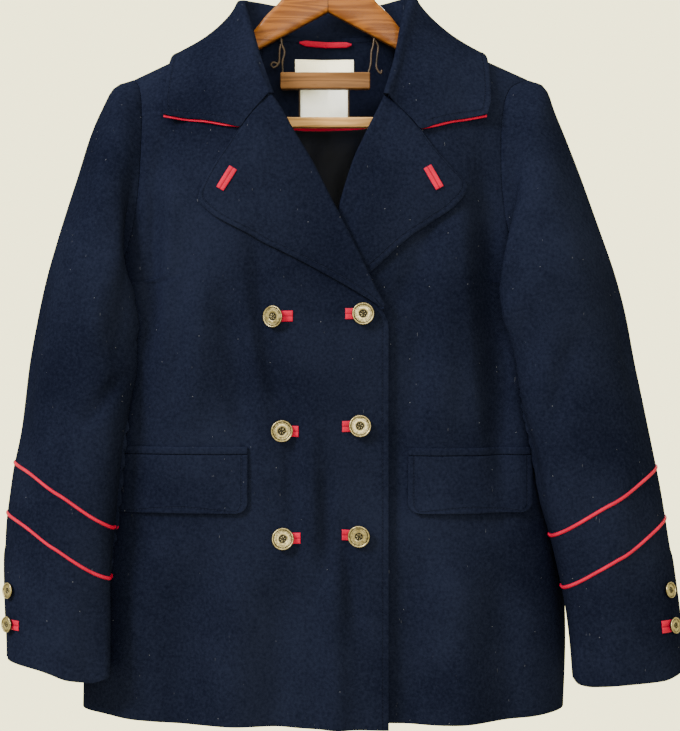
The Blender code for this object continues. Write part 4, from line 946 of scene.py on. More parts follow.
class Value:
    """A shader socket that takes part in Python expressions, each of which adds a Math node."""

    def __init__(self, graph: "Graph", socket: bpy.types.NodeSocket) -> None:
        """Wraps one output socket of a graph."""
        self.graph = graph
        self.socket = socket

    def __add__(self, other: "Value | float") -> "Value":
        """Self plus other."""
        return self.graph.maths("ADD", self, other)

    __radd__ = __add__

    def __sub__(self, other: "Value | float") -> "Value":
        """Self less other."""
        return self.graph.maths("SUBTRACT", self, other)

    def __rsub__(self, other: float) -> "Value":
        """Other less self."""
        return self.graph.maths("SUBTRACT", other, self)

    def __mul__(self, other: "Value | float") -> "Value":
        """Self times other."""
        return self.graph.maths("MULTIPLY", self, other)

    __rmul__ = __mul__

    def __truediv__(self, other: "Value | float") -> "Value":
        """Self over other."""
        return self.graph.maths("DIVIDE", self, other)

    def __rtruediv__(self, other: float) -> "Value":
        """Other over self."""
        return self.graph.maths("DIVIDE", other, self)

    def __pow__(self, other: float) -> "Value":
        """Self to a power."""
        return self.graph.maths("POWER", self, other)

    def __mod__(self, other: float) -> "Value":
        """What is left of self past whole steps of other, never below zero."""
        return self.graph.maths("FLOORED_MODULO", self, other)

    def __gt__(self, other: "Value | float") -> "Value":
        """1 where self is above other, else 0."""
        return self.graph.maths("GREATER_THAN", self, other)

    def __lt__(self, other: "Value | float") -> "Value":
        """1 where self is below other, else 0."""
        return self.graph.maths("LESS_THAN", self, other)

    def __abs__(self) -> "Value":
        """Self without its sign."""
        return self.graph.maths("ABSOLUTE", self)

    def sin(self) -> "Value":
        """The sine of self."""
        return self.graph.maths("SINE", self)

    def bump_at(self, middle: float, width: float) -> "Value":
        """A soft peak of 1 where self is at the middle, 0 past the width."""
        away = abs(self - middle) / width
        return self.graph.maths("MAXIMUM", 1.0 - away * away, 0.0)


class Graph:
    """A material's node tree, with short ways to add nodes to it."""

    def __init__(self, name: str) -> None:
        """Starts a material of that name with only its shader and output.

        Args:
            name: the material's name.
        """
        self.material = bpy.data.materials.new(name)
        self.material.use_nodes = True
        self.tree = self.material.node_tree
        self.shader = self.tree.nodes["Principled BSDF"]
        place = self.tree.nodes.new("ShaderNodeTexCoord")
        self.place = Value(self, place.outputs["Object"])
        self.uv = Value(self, place.outputs["UV"])

    def node(self, kind: str, settings: dict[str, object], inputs: dict[str | int, object],
             out: str | int = 0) -> Value:
        """Adds one node.

        Args:
            kind: the node's type.
            settings: its properties, which are set first.
            inputs: values or links of its sockets.
            out: the output that is wanted.

        Returns:
            The output, ready for expressions.
        """
        made = self.tree.nodes.new(kind)
        for name, value in settings.items():
            setattr(made, name, value)
        for name, value in inputs.items():
            self.feed(made.inputs[name], value)
        return Value(self, made.outputs[out])

    def feed(self, socket: bpy.types.NodeSocket, value: object) -> None:
        """Links a socket to a value's socket, or sets it to a plain number or colour.

        Args:
            socket: the socket.
            value: what it takes.
        """
        if isinstance(value, Value):
            self.tree.links.new(value.socket, socket)
        else:
            socket.default_value = value

    def maths(self, operation: str, *values: object) -> Value:
        """Adds a Math node over one or two values."""
        return self.node("ShaderNodeMath", {"operation": operation}, dict(enumerate(values)))

    def noise(self, scale: float, detail: float = 2.0, where: Value | None = None,
              rough: float = 0.5) -> Value:
        """Soft noise from 0 to 1 over the piece.

        Args:
            scale: how fine it is.
            detail: how many finer layers it has.
            where: the coordinates, or the piece's own.
            rough: how strong those layers are.

        Returns:
            The noise.
        """
        return self.node("ShaderNodeTexNoise", {}, {
            "Vector": where or self.place, "Scale": scale, "Detail": detail, "Roughness": rough,
        })

    def stretched(self, scale: tuple[float, float, float],
                  turn: tuple[float, float, float] = (0.0, 0.0, 0.0),
                  where: Value | None = None) -> Value:
        """The piece's coordinates, scaled apart along its axes after a turn.

        Args:
            scale: the factor along each axis.
            turn: the angles of the turn.
            where: the coordinates, or the piece's own.

        Returns:
            The new coordinates.
        """
        return self.node("ShaderNodeMapping", {"vector_type": "POINT"}, {
            "Vector": where or self.place, "Scale": scale, "Rotation": turn,
        })

    def split(self, vector: Value) -> tuple[Value, Value, Value]:
        """The three parts of a vector.

        Args:
            vector: the vector.

        Returns:
            Its x, y and z.
        """
        made = self.tree.nodes.new("ShaderNodeSeparateXYZ")
        self.feed(made.inputs[0], vector)
        return tuple(Value(self, out) for out in made.outputs)

    def attribute(self, name: str) -> Value:
        """A number that the mesh carries at each point."""
        return self.node("ShaderNodeAttribute", {"attribute_name": name}, {}, "Fac")

    def mix(self, share: object, first: object, last: object) -> Value:
        """A mix of two colours.

        Args:
            share: how much of the last one there is.
            first: a colour or its link.
            last: the other one.

        Returns:
            The mixed colour.
        """
        made = self.tree.nodes.new("ShaderNodeMix")
        made.data_type = "RGBA"
        for index, value in ((0, share), (6, first), (7, last)):
            if isinstance(value, tuple) and len(value) == 3:
                value = (*value, 1.0)
            self.feed(made.inputs[index], value)
        return Value(self, made.outputs[2])

    def ramp(self, value: Value, low: float, high: float) -> Value:
        """0 below low, 1 above high and a smooth rise between.

        Args:
            value: what is read.
            low: where the rise starts.
            high: where it ends.

        Returns:
            The rise, from 0 to 1.
        """
        return self.node("ShaderNodeMapRange", {"interpolation_type": "SMOOTHSTEP"}, {
            "Value": value, "From Min": low, "From Max": high,
        })

    def finish(self, colour: object, roughness: object, height: Value | None = None,
               **constants: float) -> bpy.types.Material:
        """Feeds the shader.

        Args:
            colour: base colour or its link.
            roughness: roughness or its link.
            height: the surface's relief in metres.
            constants: further sockets, with _ for a space, set to plain numbers or colours.

        Returns:
            The finished material.
        """
        if isinstance(colour, tuple) and len(colour) == 3:
            colour = (*colour, 1.0)
        self.feed(self.shader.inputs["Base Color"], colour)
        self.feed(self.shader.inputs["Roughness"], roughness)
        for name, value in constants.items():
            self.feed(self.shader.inputs[name.replace("_", " ")], value)
        if height is not None:
            bump = self.node("ShaderNodeBump", {}, {
                "Strength": 1.0, "Distance": 1.0, "Height": height,
            })
            self.feed(self.shader.inputs["Normal"], bump)
        return self.material


@dataclass(frozen=True)
class Wool:
    """Felted wool twill: a short nap, faint diagonal, fine lint and the stitches near edges."""

    name: str = "navy_wool"
    slot: str = "navy_wool"
    deep: Colour = (0.0012, 0.0016, 0.0044)
    pale: Colour = (0.0041, 0.0053, 0.0124)
    lint: Colour = (0.090, 0.095, 0.115)
    nap: float = 0.00010
    stitch_from_edge: float = NAVY_STITCHES
    stitch_length: float = 0.0034

    def build(self) -> bpy.types.Material:
        """The wool's material.

        Returns:
            The material.
        """
        g = Graph(self.name)
        u, v, _ = g.split(g.uv)
        clouds = g.noise(9.0, 3.0)
        fibres = g.noise(1100.0, 3.0, rough=0.7)
        tufts = g.noise(330.0, 3.0)
        shade = g.ramp(clouds * 0.45 + fibres * 0.30 + tufts * 0.42, 0.34, 0.84)
        colour = g.mix(shade, self.deep, self.pale)
        cells = g.node("ShaderNodeTexVoronoi", {"feature": "F1"}, {
            "Vector": g.place, "Scale": 150.0, "Randomness": 1.0,
        })
        picked = g.node("ShaderNodeTexVoronoi", {"feature": "F1"}, {
            "Vector": g.place, "Scale": 150.0, "Randomness": 1.0,
        }, "Color")
        some, _, _ = g.split(picked)
        specks = (0.070 > cells) * (some > 0.92)
        threads = g.ramp(g.noise(1.0, 2.0, g.stretched((520.0, 520.0, 90.0), (0.5, 0.4, 0.3))),
                         0.76, 0.80)
        colour = g.mix(specks * 0.40 + threads * 0.22, colour, self.lint)
        edge = g.attribute("edge")
        row = edge.bump_at(self.stitch_from_edge, 0.0011)
        dash = ((u + v) % self.stitch_length) / self.stitch_length
        thread = edge.bump_at(self.stitch_from_edge, 0.00045) * (dash > 0.22)
        # Painted shade: the stitch row's groove is darkened here, besides being sunk in the relief
        # below
        colour = g.mix(row * 0.45, colour, (0.0005, 0.0007, 0.0019))
        colour = g.mix(thread * 0.5, colour, (0.0060, 0.0074, 0.0165))
        twill = ((u * 0.8 + v) * (math.tau / 0.0016) + tufts * 5.0).sin()
        relief = fibres * self.nap + tufts * (self.nap * 1.6) + twill * (self.nap * 0.12)
        relief = relief - row * 0.00042 + thread * 0.00022
        rough = 0.80 + shade * 0.12
        return g.finish(colour, rough, relief, Sheen_Weight=0.002, Sheen_Roughness=0.40,
                        Sheen_Tint=(0.42, 0.48, 0.80, 1.0), Specular_IOR_Level=0.0)


@dataclass(frozen=True)
class PlainCloth:
    """A plain woven cloth of one dye, such as the red trims and the labels."""

    name: str
    slot: str
    deep: Colour
    pale: Colour
    thread: float = 0.0009
    relief: float = 0.00006
    roughness: float = 0.62
    stitch_from_edge: float = 0.0016
    stitch_length: float = 0.0026
    stitched: bool = False
    # Whether the slit between a buttonhole's lips gets a dark line of painted shade
    painted_slit_shade: bool = False

    def build(self) -> bpy.types.Material:
        """The cloth's material.

        Returns:
            The material.
        """
        g = Graph(self.name)
        u, v, _ = g.split(g.uv)
        step = math.tau / self.thread
        weave = (u * step).sin() * (v * step).sin()
        clouds = g.noise(60.0, 3.0)
        fuzz = g.noise(900.0, 2.0)
        shade = g.ramp(weave * 0.16 + clouds * 0.5 + fuzz * 0.4, 0.20, 0.75)
        colour = g.mix(shade, self.deep, self.pale)
        relief = weave * self.relief + fuzz * self.relief
        if self.stitched:
            edge = g.attribute("edge")
            dash = ((u + v) % self.stitch_length) / self.stitch_length
            seam = edge.bump_at(self.stitch_from_edge, 0.0005) * (dash > 0.3)
            colour = g.mix(seam * 0.35, colour, tuple(c * 0.35 for c in self.deep))
            relief = relief - edge.bump_at(self.stitch_from_edge, 0.0010) * 0.00016
        # Painted shade: a dark line along the slit where a buttonhole's two lips meet
        if self.painted_slit_shade:
            slit_shade_mask = g.attribute("edge").bump_at(0.0, 0.0007)
            colour = g.mix(slit_shade_mask * 0.5, colour, tuple(c * 0.12 for c in self.deep))
        return g.finish(colour, self.roughness + shade * 0.10, relief, Specular_IOR_Level=0.06)


@dataclass(frozen=True)
class Satin:
    """A dark satin lining with a soft shine along its threads."""

    name: str = "satin_lining"
    slot: str = "satin_lining"
    deep: Colour = (0.0006, 0.0008, 0.0020)
    pale: Colour = (0.0022, 0.0028, 0.0060)

    def build(self) -> bpy.types.Material:
        """The lining's material.

        Returns:
            The material.
        """
        g = Graph(self.name)
        clouds = g.noise(26.0, 3.0)
        lines = g.noise(1.0, 2.0, g.stretched((1400.0, 300.0, 60.0)))
        colour = g.mix(g.ramp(clouds * 0.6 + lines * 0.4, 0.3, 0.75), self.deep, self.pale)
        relief = lines * 0.00003 + clouds * 0.0016
        return g.finish(colour, 0.40 + lines * 0.14, relief, Specular_IOR_Level=0.025)


@dataclass(frozen=True)
class OldMetal:
    """Cast metal with a dark wash that stays in its low places."""

    name: str = "antique_metal"
    slot: str = "antique_metal"
    bright: Colour = (0.190, 0.160, 0.088)
    dull: Colour = (0.085, 0.068, 0.034)
    wash: Colour = (0.010, 0.009, 0.007)

    def build(self) -> bpy.types.Material:
        """The metal's material.

        Returns:
            The material.
        """
        g = Graph(self.name)
        high = g.attribute("relief")
        stain = g.noise(420.0, 4.0, rough=0.65)
        marks = g.noise(1500.0, 2.0)
        worn = g.ramp(high + (stain - 0.5) * 0.55, 0.08, 0.75)
        metal = g.mix(g.ramp(stain, 0.35, 0.65), self.dull, self.bright)
        colour = g.mix(worn, self.wash, metal)
        return g.finish(colour, 0.50 - worn * 0.20 + marks * 0.08,
                        marks * 0.00004 + stain * 0.00005, Metallic=1.0)


@dataclass(frozen=True)
class Timber:
    """Varnished wood, its grain along the given slope."""

    name: str
    slot: str
    deep: Colour
    pale: Colour
    slope: float = 0.0
    coat: float = 0.05
    roughness: float = 0.42

    def build(self) -> bpy.types.Material:
        """The wood's material.

        Returns:
            The material.
        """
        g = Graph(self.name)
        turn = (0.0, self.slope, 0.0)
        grain = g.noise(1.0, 4.0, g.stretched((14.0, 260.0, 230.0), turn), rough=0.6)
        bands = g.noise(1.0, 2.0, g.stretched((4.0, 60.0, 62.0), turn))
        rings = ((bands * 46.0 + grain * 3.0).sin() + 1.0) / 2.0
        pores = g.ramp(g.noise(1.0, 2.0, g.stretched((60.0, 1500.0, 1300.0), turn)), 0.62, 0.74)
        colour = g.mix(rings * 0.55 + grain * 0.40, self.deep, self.pale)
        colour = g.mix(pores * 0.45, colour, tuple(c * 0.45 for c in self.deep))
        # Painted shade: darker where the mesh's under attribute marks the arms' downward faces and
        # the end face where the arms meet; the bars carry none
        colour = g.mix(g.attribute("under") * 0.75, colour, tuple(c * 0.30 for c in self.deep))
        relief = grain * 0.00005 - pores * 0.00006 + rings * 0.00002
        return g.finish(colour, self.roughness + pores * 0.15, relief, Coat_Weight=self.coat,
                        Coat_Roughness=0.22, Specular_IOR_Level=0.06)


@dataclass(frozen=True)
class WireMetal:
    """Drawn wire with fine marks along it and a little tarnish."""

    name: str
    slot: str
    bright: Colour
    dull: Colour
    roughness: float = 0.25
    metallic: float = 1.0

    def build(self) -> bpy.types.Material:
        """The wire's material.

        Returns:
            The material.
        """
        g = Graph(self.name)
        stain = g.noise(140.0, 3.0)
        marks = g.noise(1600.0, 2.0)
        colour = g.mix(g.ramp(stain, 0.40, 0.72), self.bright, self.dull)
        return g.finish(colour, self.roughness + stain * 0.18, marks * 0.00002,
                        Metallic=self.metallic, Specular_IOR_Level=0.2)


Look = Wool | PlainCloth | Satin | OldMetal | Timber | WireMetal


@dataclass(frozen=True)
class Finish:
    """A built material and the record's slot that it fills."""

    material: bpy.types.Material
    slot: str

    @classmethod
    def of(cls, look: Look) -> "Finish":
        """A look's finish, with its material built."""
        return cls(look.build(), look.slot)


NAVY = Finish.of(Wool())
RED = Finish.of(PlainCloth("red_cloth", "red_cloth", (0.135, 0.0003, 0.0100),
                           (0.245, 0.0005, 0.0185), painted_slit_shade=True))
CREAM = Finish.of(PlainCloth("cream_label", "cream_label", (0.80, 0.75, 0.60),
                             (0.92, 0.88, 0.76), stitched=True))
WHITE = Finish.of(PlainCloth("white_label", "white_label", (0.84, 0.85, 0.86),
                             (0.96, 0.96, 0.95), thread=0.0007, stitched=True))
SATIN = Finish.of(Satin())
METAL = Finish.of(OldMetal())
ARM_WOODS = {
    panel: Finish.of(Timber("hanger_wood_" + panel.value, "hanger_wood", (0.045, 0.012, 0.0018),
                            (0.125, 0.043, 0.0075), slope=math.radians(28 * panel.sign)))
    for panel in (Panel.RIGHT, Panel.LEFT)
}
# The bars share one wood; the upper bar's copy is darker, painted shade
BAR_WOODS = {
    name: Finish.of(Timber("bar_wood_" + name, "bar_wood", deep, pale, coat=0.02, roughness=0.5))
    for name, deep, pale in (
        ("upper", (0.040, 0.016, 0.0045), (0.105, 0.047, 0.0165)),
        ("lower", (0.130, 0.064, 0.020), (0.290, 0.165, 0.066)),
    )
}
STEEL = Finish.of(WireMetal("hook_steel", "hook_steel", (0.62, 0.62, 0.63), (0.40, 0.39, 0.38)))
BRASS = Finish.of(WireMetal("bar_wire", "bar_wire", (0.026, 0.016, 0.010),
                            (0.010, 0.007, 0.005), roughness=0.4, metallic=0.5))


def linked(name: str, data: bpy.types.ID) -> bpy.types.Object:
    """Makes an object of some data in the scene.

    Args:
        name: its name.
        data: its mesh, curve, light or camera.

    Returns:
        The object.
    """
    made = bpy.data.objects.new(name, data)
    bpy.context.scene.collection.objects.link(made)
    return made


def meshed(shape: bmesh.types.BMesh, name: str) -> bpy.types.Mesh:
    """Makes a mesh of a finished bmesh.

    Args:
        shape: the bmesh, which is freed.
        name: the mesh's name.

    Returns:
        The mesh.
    """
    mesh = bpy.data.meshes.new(name)
    shape.to_mesh(mesh)
    shape.free()
    return mesh


def carry(mesh: bpy.types.Mesh, name: str, values: Array) -> None:
    """Gives each point of a mesh a number that its material reads."""
    carried = mesh.attributes.new(name, "FLOAT", "POINT")
    carried.data.foreach_set("value", np.asarray(values, np.float32).ravel())


def dressed(name: str, data: bpy.types.ID, finish: Finish, node: str) -> bpy.types.Object:
    """Makes a piece that rides on the coat's body.

    Args:
        name: the piece's name.
        data: its mesh or curve.
        finish: its material and slot.
        node: the CAD node that it stands for.

    Returns:
        The piece.
    """
    data.materials.append(finish.material)
    made = linked(name, data)
    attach(made, BODY)
    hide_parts(node)
    return made


def placed(shape: bmesh.types.BMesh, name: str, finish: Finish, node: str) -> bpy.types.Object:
    """Makes a smooth piece of a finished bmesh.

    Args:
        shape: the bmesh, which is freed.
        name: the piece's name.
        finish: its material and slot.
        node: the CAD node that it stands for.

    Returns:
        The piece.
    """
    mesh = meshed(shape, name)
    mesh.shade_smooth()
    return dressed(name, mesh, finish, node)


@dataclass
class Cloth:
    """One piece of cloth, from the grid of points of its outer face."""

    node: str
    grid: Array
    thickness: float = 0.0022
    finish: Finish = NAVY
    held: Held = Held.HUNG
    rests_on: tuple[str, ...] = ("hanger_arm_right", "hanger_arm_left")
    outward: Way = FRONTWARDS
    edge: Array | None = None
    bevel: float = 0.0005

    def build(self) -> bpy.types.Object:
        """Shapes a grid to the points, thickens it inwards and softens its edges.

        Returns:
            The piece.
        """
        rows, columns = self.grid.shape[:2]
        shape = bmesh.new()
        bmesh.ops.create_grid(shape, x_segments=columns - 1, y_segments=rows - 1, size=1.0)
        for vertex, point in zip(shape.verts, self.grid.reshape(-1, 3)):
            vertex.co = point
        shape.normal_update()
        centre = Vector(self.grid[rows // 2, columns // 2])
        nearest = min(shape.faces, key=lambda f: (f.calc_center_median() - centre).length)
        if nearest.normal.dot(Vector(self.outward)) < 0:
            bmesh.ops.reverse_faces(shape, faces=shape.faces)
        made = placed(shape, "cloth_" + self.node, self.finish, self.node)
        start, _, low, _ = reaches(self.grid)
        self.mark(made.data, start, low)
        solid = made.modifiers.new("Wall", "SOLIDIFY")
        solid.thickness = self.thickness
        solid.offset = -1.0
        soft = made.modifiers.new("Edge", "BEVEL")
        soft.width = self.bevel
        soft.segments = 2
        soft.limit_method = "ANGLE"
        soft.angle_limit = SOFT_ANGLE
        self.declare()
        log.info("%s: %d points", made.name, rows * columns)
        return made

    def mark(self, mesh: bpy.types.Mesh, start: Array, low: Array) -> None:
        """Gives the mesh its cloth lengths as a UV map and its distance from stitched edges.

        Args:
            mesh: the piece's mesh.
            start: lengths from the grid's first column.
            low: lengths from its first row.
        """
        corners = np.zeros(len(mesh.loops), np.int32)
        mesh.loops.foreach_get("vertex_index", corners)
        lengths = np.stack([start.ravel(), low.ravel()], -1)[corners]
        mesh.uv_layers.new(name="Cloth").data.foreach_set("uv", lengths.astype(np.float32).ravel())
        carry(mesh, "edge", np.full(start.shape, FAR) if self.edge is None else self.edge)

    def declare(self) -> None:
        """Measures the area of each of the grid's cells, and keeps nothing. Says how large the
        cloth was cut. Its area is as measured, and so are its sides, unless one is under
        LEAST_SIDE, which is then declared instead.
        """
        across = np.linalg.norm(np.cross(self.grid[1:, :-1] - self.grid[:-1, :-1],
                                         self.grid[:-1, 1:] - self.grid[:-1, :-1]), axis=-1)


@dataclass
class Body:
    """The two fronts and the back."""

    gap: float = 0.0002
    shoulder_gap: float = 0.0003
    low_rows: int = 88
    high_rows: int = 64
    columns: int = 72
    back_columns: int = 104
    stitched_below: float = -0.450
    back_seam_x: float = -0.004

    def front(self, panel: Panel) -> bpy.types.Object:
        """One front from hem to shoulder, side seam to button edge and roll line.

        Args:
            panel: which front.

        Returns:
            The piece.
        """
        top_x = COAT.right_x if panel is Panel.RIGHT else COAT.left_x
        neck_x = panel.sign * COAT.neck_x

        def lower(up: Array, across: Array) -> Array:
            """Points from the hem to the armpit.

            Args:
                up: shares of the way up.
                across: shares from the side inwards.

            Returns:
                The points.
            """
            level = mixed(COAT.hem_front_z, COAT.armpit_z, up)
            x = mixed(SHAPE.read(panel.value, level), COAT.front_edge(level, panel), across)
            z = level + (COAT.hem_z(x) + self.tip(x, panel) - COAT.hem_front_z) * (1.0 - up)
            x = mixed(SHAPE.read(panel.value, z), COAT.front_edge(z, panel), across)
            return COAT.point(x, z, panel)

        def upper(up: Array, across: Array) -> Array:
            """Points from the armpit to the shoulder.

            Args:
                up: shares of the way up.
                across: shares from the side inwards.

            Returns:
                The points.
            """
            outer = mixed(COAT.armpit_z, COAT.shoulder_z, up)
            inner = mixed(COAT.armpit_z, COAT.neck_z, up)
            x = mixed(ARMHOLE.read(panel.value, outer), COAT.front_edge(inner, panel), across)
            top = COAT.top_z(mixed(top_x, neck_x, across))
            return COAT.point(x, mixed(COAT.armpit_z, top, up), panel)

        grid = self.joined(lower, upper, self.columns)
        grid = trimmed(grid, 0.0, self.shoulder_gap, self.gap, 0.0)
        _, end, _, _ = reaches(grid)
        edge = np.where(grid[..., 2] < self.stitched_below, end, FAR)
        return Cloth("front_" + panel.value, grid, edge=edge).build()

    def tip(self, x: Array, panel: Panel) -> Array:
        """How much the hem dips at the top front's corner and rises on the front under it.

        Args:
            x: places across.
            panel: which front.

        Returns:
            The lengths, above zero upwards.
        """
        if panel is Panel.RIGHT:
            return -0.0040 * eased(-0.06, 0.064, x) + 0.0008 * np.sin(x * 46.0)
        return 0.0022 * (1.0 - eased(0.05, 0.16, x)) + 0.0010 * np.sin(x * 52.0)

    def joined(self, lower: Form, upper: Form, columns: int) -> Array:
        """The grid of a panel's lower and upper parts, with the row they share once.

        Args:
            lower: gives the points from the hem to the armpit.
            upper: gives those from the armpit upwards.
            columns: how many points a row has.

        Returns:
            The grid.
        """
        low = gridded(lower, even_rows(lower, self.low_rows), columns)
        high = gridded(upper, even_rows(upper, self.high_rows), columns)
        return np.concatenate([low[:-1], high])

    def back(self) -> bpy.types.Object:
        """The back in one piece, from hem to shoulders and neck.

        Returns:
            The piece.
        """

        def lower(up: Array, across: Array) -> Array:
            """Points from the hem to the armpit.

            Args:
                up: shares of the way up.
                across: shares from side to side.

            Returns:
                The points.
            """
            level = mixed(COAT.hem_front_z, COAT.armpit_z, up)
            x = mixed(*sides(level), across)
            z = level + (COAT.hem_z(x) - COAT.hem_front_z) * (1.0 - up)
            x = mixed(*sides(z), across)
            return COAT.point(x, z, Panel.BACK)

        def upper(up: Array, across: Array) -> Array:
            """Points from the armpit to the shoulders and the neck.

            Args:
                up: shares of the way up.
                across: shares from side to side.

            Returns:
                The points.
            """
            side = mixed(COAT.armpit_z, COAT.shoulder_z, up)
            x = mixed(ARMHOLE.read("right", side), ARMHOLE.read("left", side), across)
            top = COAT.collar_z(mixed(COAT.right_x, COAT.left_x, across))
            return COAT.point(x, mixed(COAT.armpit_z, top, up), Panel.BACK)

        grid = self.joined(lower, upper, self.back_columns)
        grid = trimmed(grid, 0.0, self.shoulder_gap, self.gap, self.gap)
        # The centre back seam is drawn as the wool's stitch row: a sunk groove with painted shade
        # in it
        seam = NAVY_STITCHES + np.abs(grid[..., 0] - self.back_seam_x)
        return Cloth("back", grid, outward=BACKWARDS, edge=seam).build()

    def build(self) -> list[bpy.types.Object]:
        """Both fronts and the back."""
        return [self.front(Panel.RIGHT), self.front(Panel.LEFT), self.back()]


@dataclass
class Sleeve:
    """One sleeve: upper and under pieces, two cords round it and the cuff's fastening."""

    side: Panel
    rows: int = 124
    upper_columns: int = 60
    under_columns: int = 44
    gap: float = 0.0003
    armhole_gap: float = 0.0002
    armhole_gap_top: float = 0.0003
    cord_radius: float = 0.0019
    button_turn: float = math.radians(40)
    button_radius: float = 0.0083
    buttons: tuple[tuple[str, float, float], ...] = (
        ("high", -0.7420, 0.0016), ("low", -0.7775, 0.0026),
    )
    hole_turn: float = 0.30
    hole_height: float = 0.0115

    def __post_init__(self) -> None:
        """Sets the form that every piece of this sleeve is laid on."""
        self.form = SleeveForm(self.side)

    def upper(self) -> bpy.types.Object:
        """The upper piece, whose outer edge laps over at the vent.

        Returns:
            The piece.
        """

        def points(down: Array, across: Array) -> Array:
            """Points down the sleeve, from its outer seam over the front to the inner one."""
            turn = mixed(self.form.start(down), self.form.inner_seam, across)
            return self.form.face(turn, down)

        grid = self.laid_out(points, self.upper_columns)
        share = np.linspace(0.0, 1.0, self.upper_columns)
        turns = mixed(self.form.outer_seam, self.form.inner_seam, share)
        wide = eased(math.radians(40), math.radians(120), turns)
        gaps = mixed(self.armhole_gap_top, self.armhole_gap, wide)
        grid = self.turned_under(trimmed(grid, gaps, 0.0, self.gap, self.gap), -1.0)
        return Cloth("sleeve_upper_" + self.side.value, grid).build()

    def laid_out(self, points: Form, columns: int) -> Array:
        """A grid with even rows down the sleeve and even steps round it.

        Args:
            points: gives points for shares down and round the sleeve.
            columns: how many points a row has.

        Returns:
            The grid.
        """
        keys = np.linspace(0.0, 1.0, 300)
        rows = evened(points(keys, np.full(300, 0.45)), keys, self.rows)
        dense = np.linspace(0.0, 1.0, 90)
        down, across = np.meshgrid(rows, dense, indexing="ij")
        shares = np.stack([evened(path, dense, columns) for path in points(down, across)])
        return points(np.broadcast_to(rows[:, None], shares.shape), shares)

    def under(self) -> bpy.types.Object:
        """The under piece, behind the arm.

        Returns:
            The piece.
        """

        def points(down: Array, across: Array) -> Array:
            """Points down the sleeve, from its inner seam over the back to the outer one."""
            turn = mixed(self.form.inner_seam, self.form.outer_seam + math.tau, across)
            return self.form.face(turn, down, upper=False)

        grid = self.laid_out(points, self.under_columns)
        grid = self.turned_under(trimmed(grid, self.armhole_gap, 0.0, self.gap, self.gap), 1.0)
        return Cloth("sleeve_under_" + self.side.value, grid, outward=BACKWARDS).build()

    def turned_under(self, grid: Array, face: float) -> Array:
        """The grid with its seam allowance added, turned in under the body at the armhole.

        Args:
            grid: rows of points.
            face: the way that the piece looks, along Y.

        Returns:
            The grid with two more rows before its first.
        """
        across = normals_of(grid)
        across = across * np.sign(across[len(grid) // 2, grid.shape[1] // 2, 1] * face)
        back = unit(grid[0] - grid[1])
        first = grid[0] + back * 0.0009 - across[0] * 0.0010
        second = grid[0] + back * 0.0022 - across[0] * 0.0030
        return np.concatenate([second[None], first[None], grid])

    def cord(self, name: str, out_z: float, in_z: float, bow: float) -> bpy.types.Object:
        """A red cord covered in cloth, slanting round the sleeve from seam to seam.

        Args:
            name: which cord it is.
            out_z: its height at the outer seam.
            in_z: its height at the inner seam.
            bow: how far it hangs below a straight line.

        Returns:
            The cord's piece.
        """
        turn = np.linspace(self.form.outer_seam + 0.01, self.form.inner_seam - 0.10, 90)
        share = (1.0 - np.cos(np.minimum(turn, math.pi))) / 2.0
        sway = SWAYS[self.side]
        share = share + bow * np.sin(math.pi * share) + sway * np.sin(math.tau * share)
        height = mixed(out_z, in_z, share)
        round_it = np.radians(np.linspace(100.0, -100.0, 9))[:, None]
        at = self.form.at_height(turn, height + self.cord_radius * np.sin(round_it))
        grid = self.form.face(turn, at, self.cord_radius * (np.cos(round_it) - 0.15))
        return Cloth("piping_" + name + "_" + self.side.value, grid, 0.0005, RED, Held.STRETCHED,
                     ("cloth_sleeve_upper_" + self.side.value,), bevel=0.0001).build()

    def fastening(self) -> None:
        """Two buttons on the vent and the red buttonhole beside the lower one."""
        turn = np.array([self.button_turn])
        for name, z, stand in self.buttons:
            at = self.form.at_height(turn, np.array([z]))
            place = self.form.face(turn, at, stand)[0]
            way = self.form.normal(turn, at)[0]
            node = "cuff_button_" + name + "_" + self.side.value
            Button(node, self.button_radius, place, way, self.side.sign * 0.2).build()
        low_z = self.buttons[-1][1]
        turns, up = np.meshgrid(self.button_turn + self.hole_turn * np.linspace(0.0, 1.0, 15),
                                np.linspace(0.5, -0.5, 17))
        at = self.form.at_height(turns, low_z + up * self.hole_height)
        grid = self.form.face(turns, at, 0.0004 + lips(up))
        Cloth("cuff_hole_" + self.side.value, grid, 0.0007, RED, Held.FOLDED,
              ("cloth_sleeve_upper_" + self.side.value,), edge=np.abs(up) * self.hole_height,
              bevel=0.0002).build()

    def build(self) -> None:
        """Both pieces of the sleeve, its cords and its fastening."""
        self.upper()
        self.under()
        for row in CORDS[self.side]:
            self.cord(*row)
        self.fastening()


def lips(share: Array) -> Array:
    """The height of a bound buttonhole's two lips over its width, from -0.5 to 0.5."""
    from_lip = (np.abs(share) - 0.25) / 0.25
    return 0.0011 * np.sqrt(1.0 - 0.86 * np.minimum(1.0, from_lip**2))


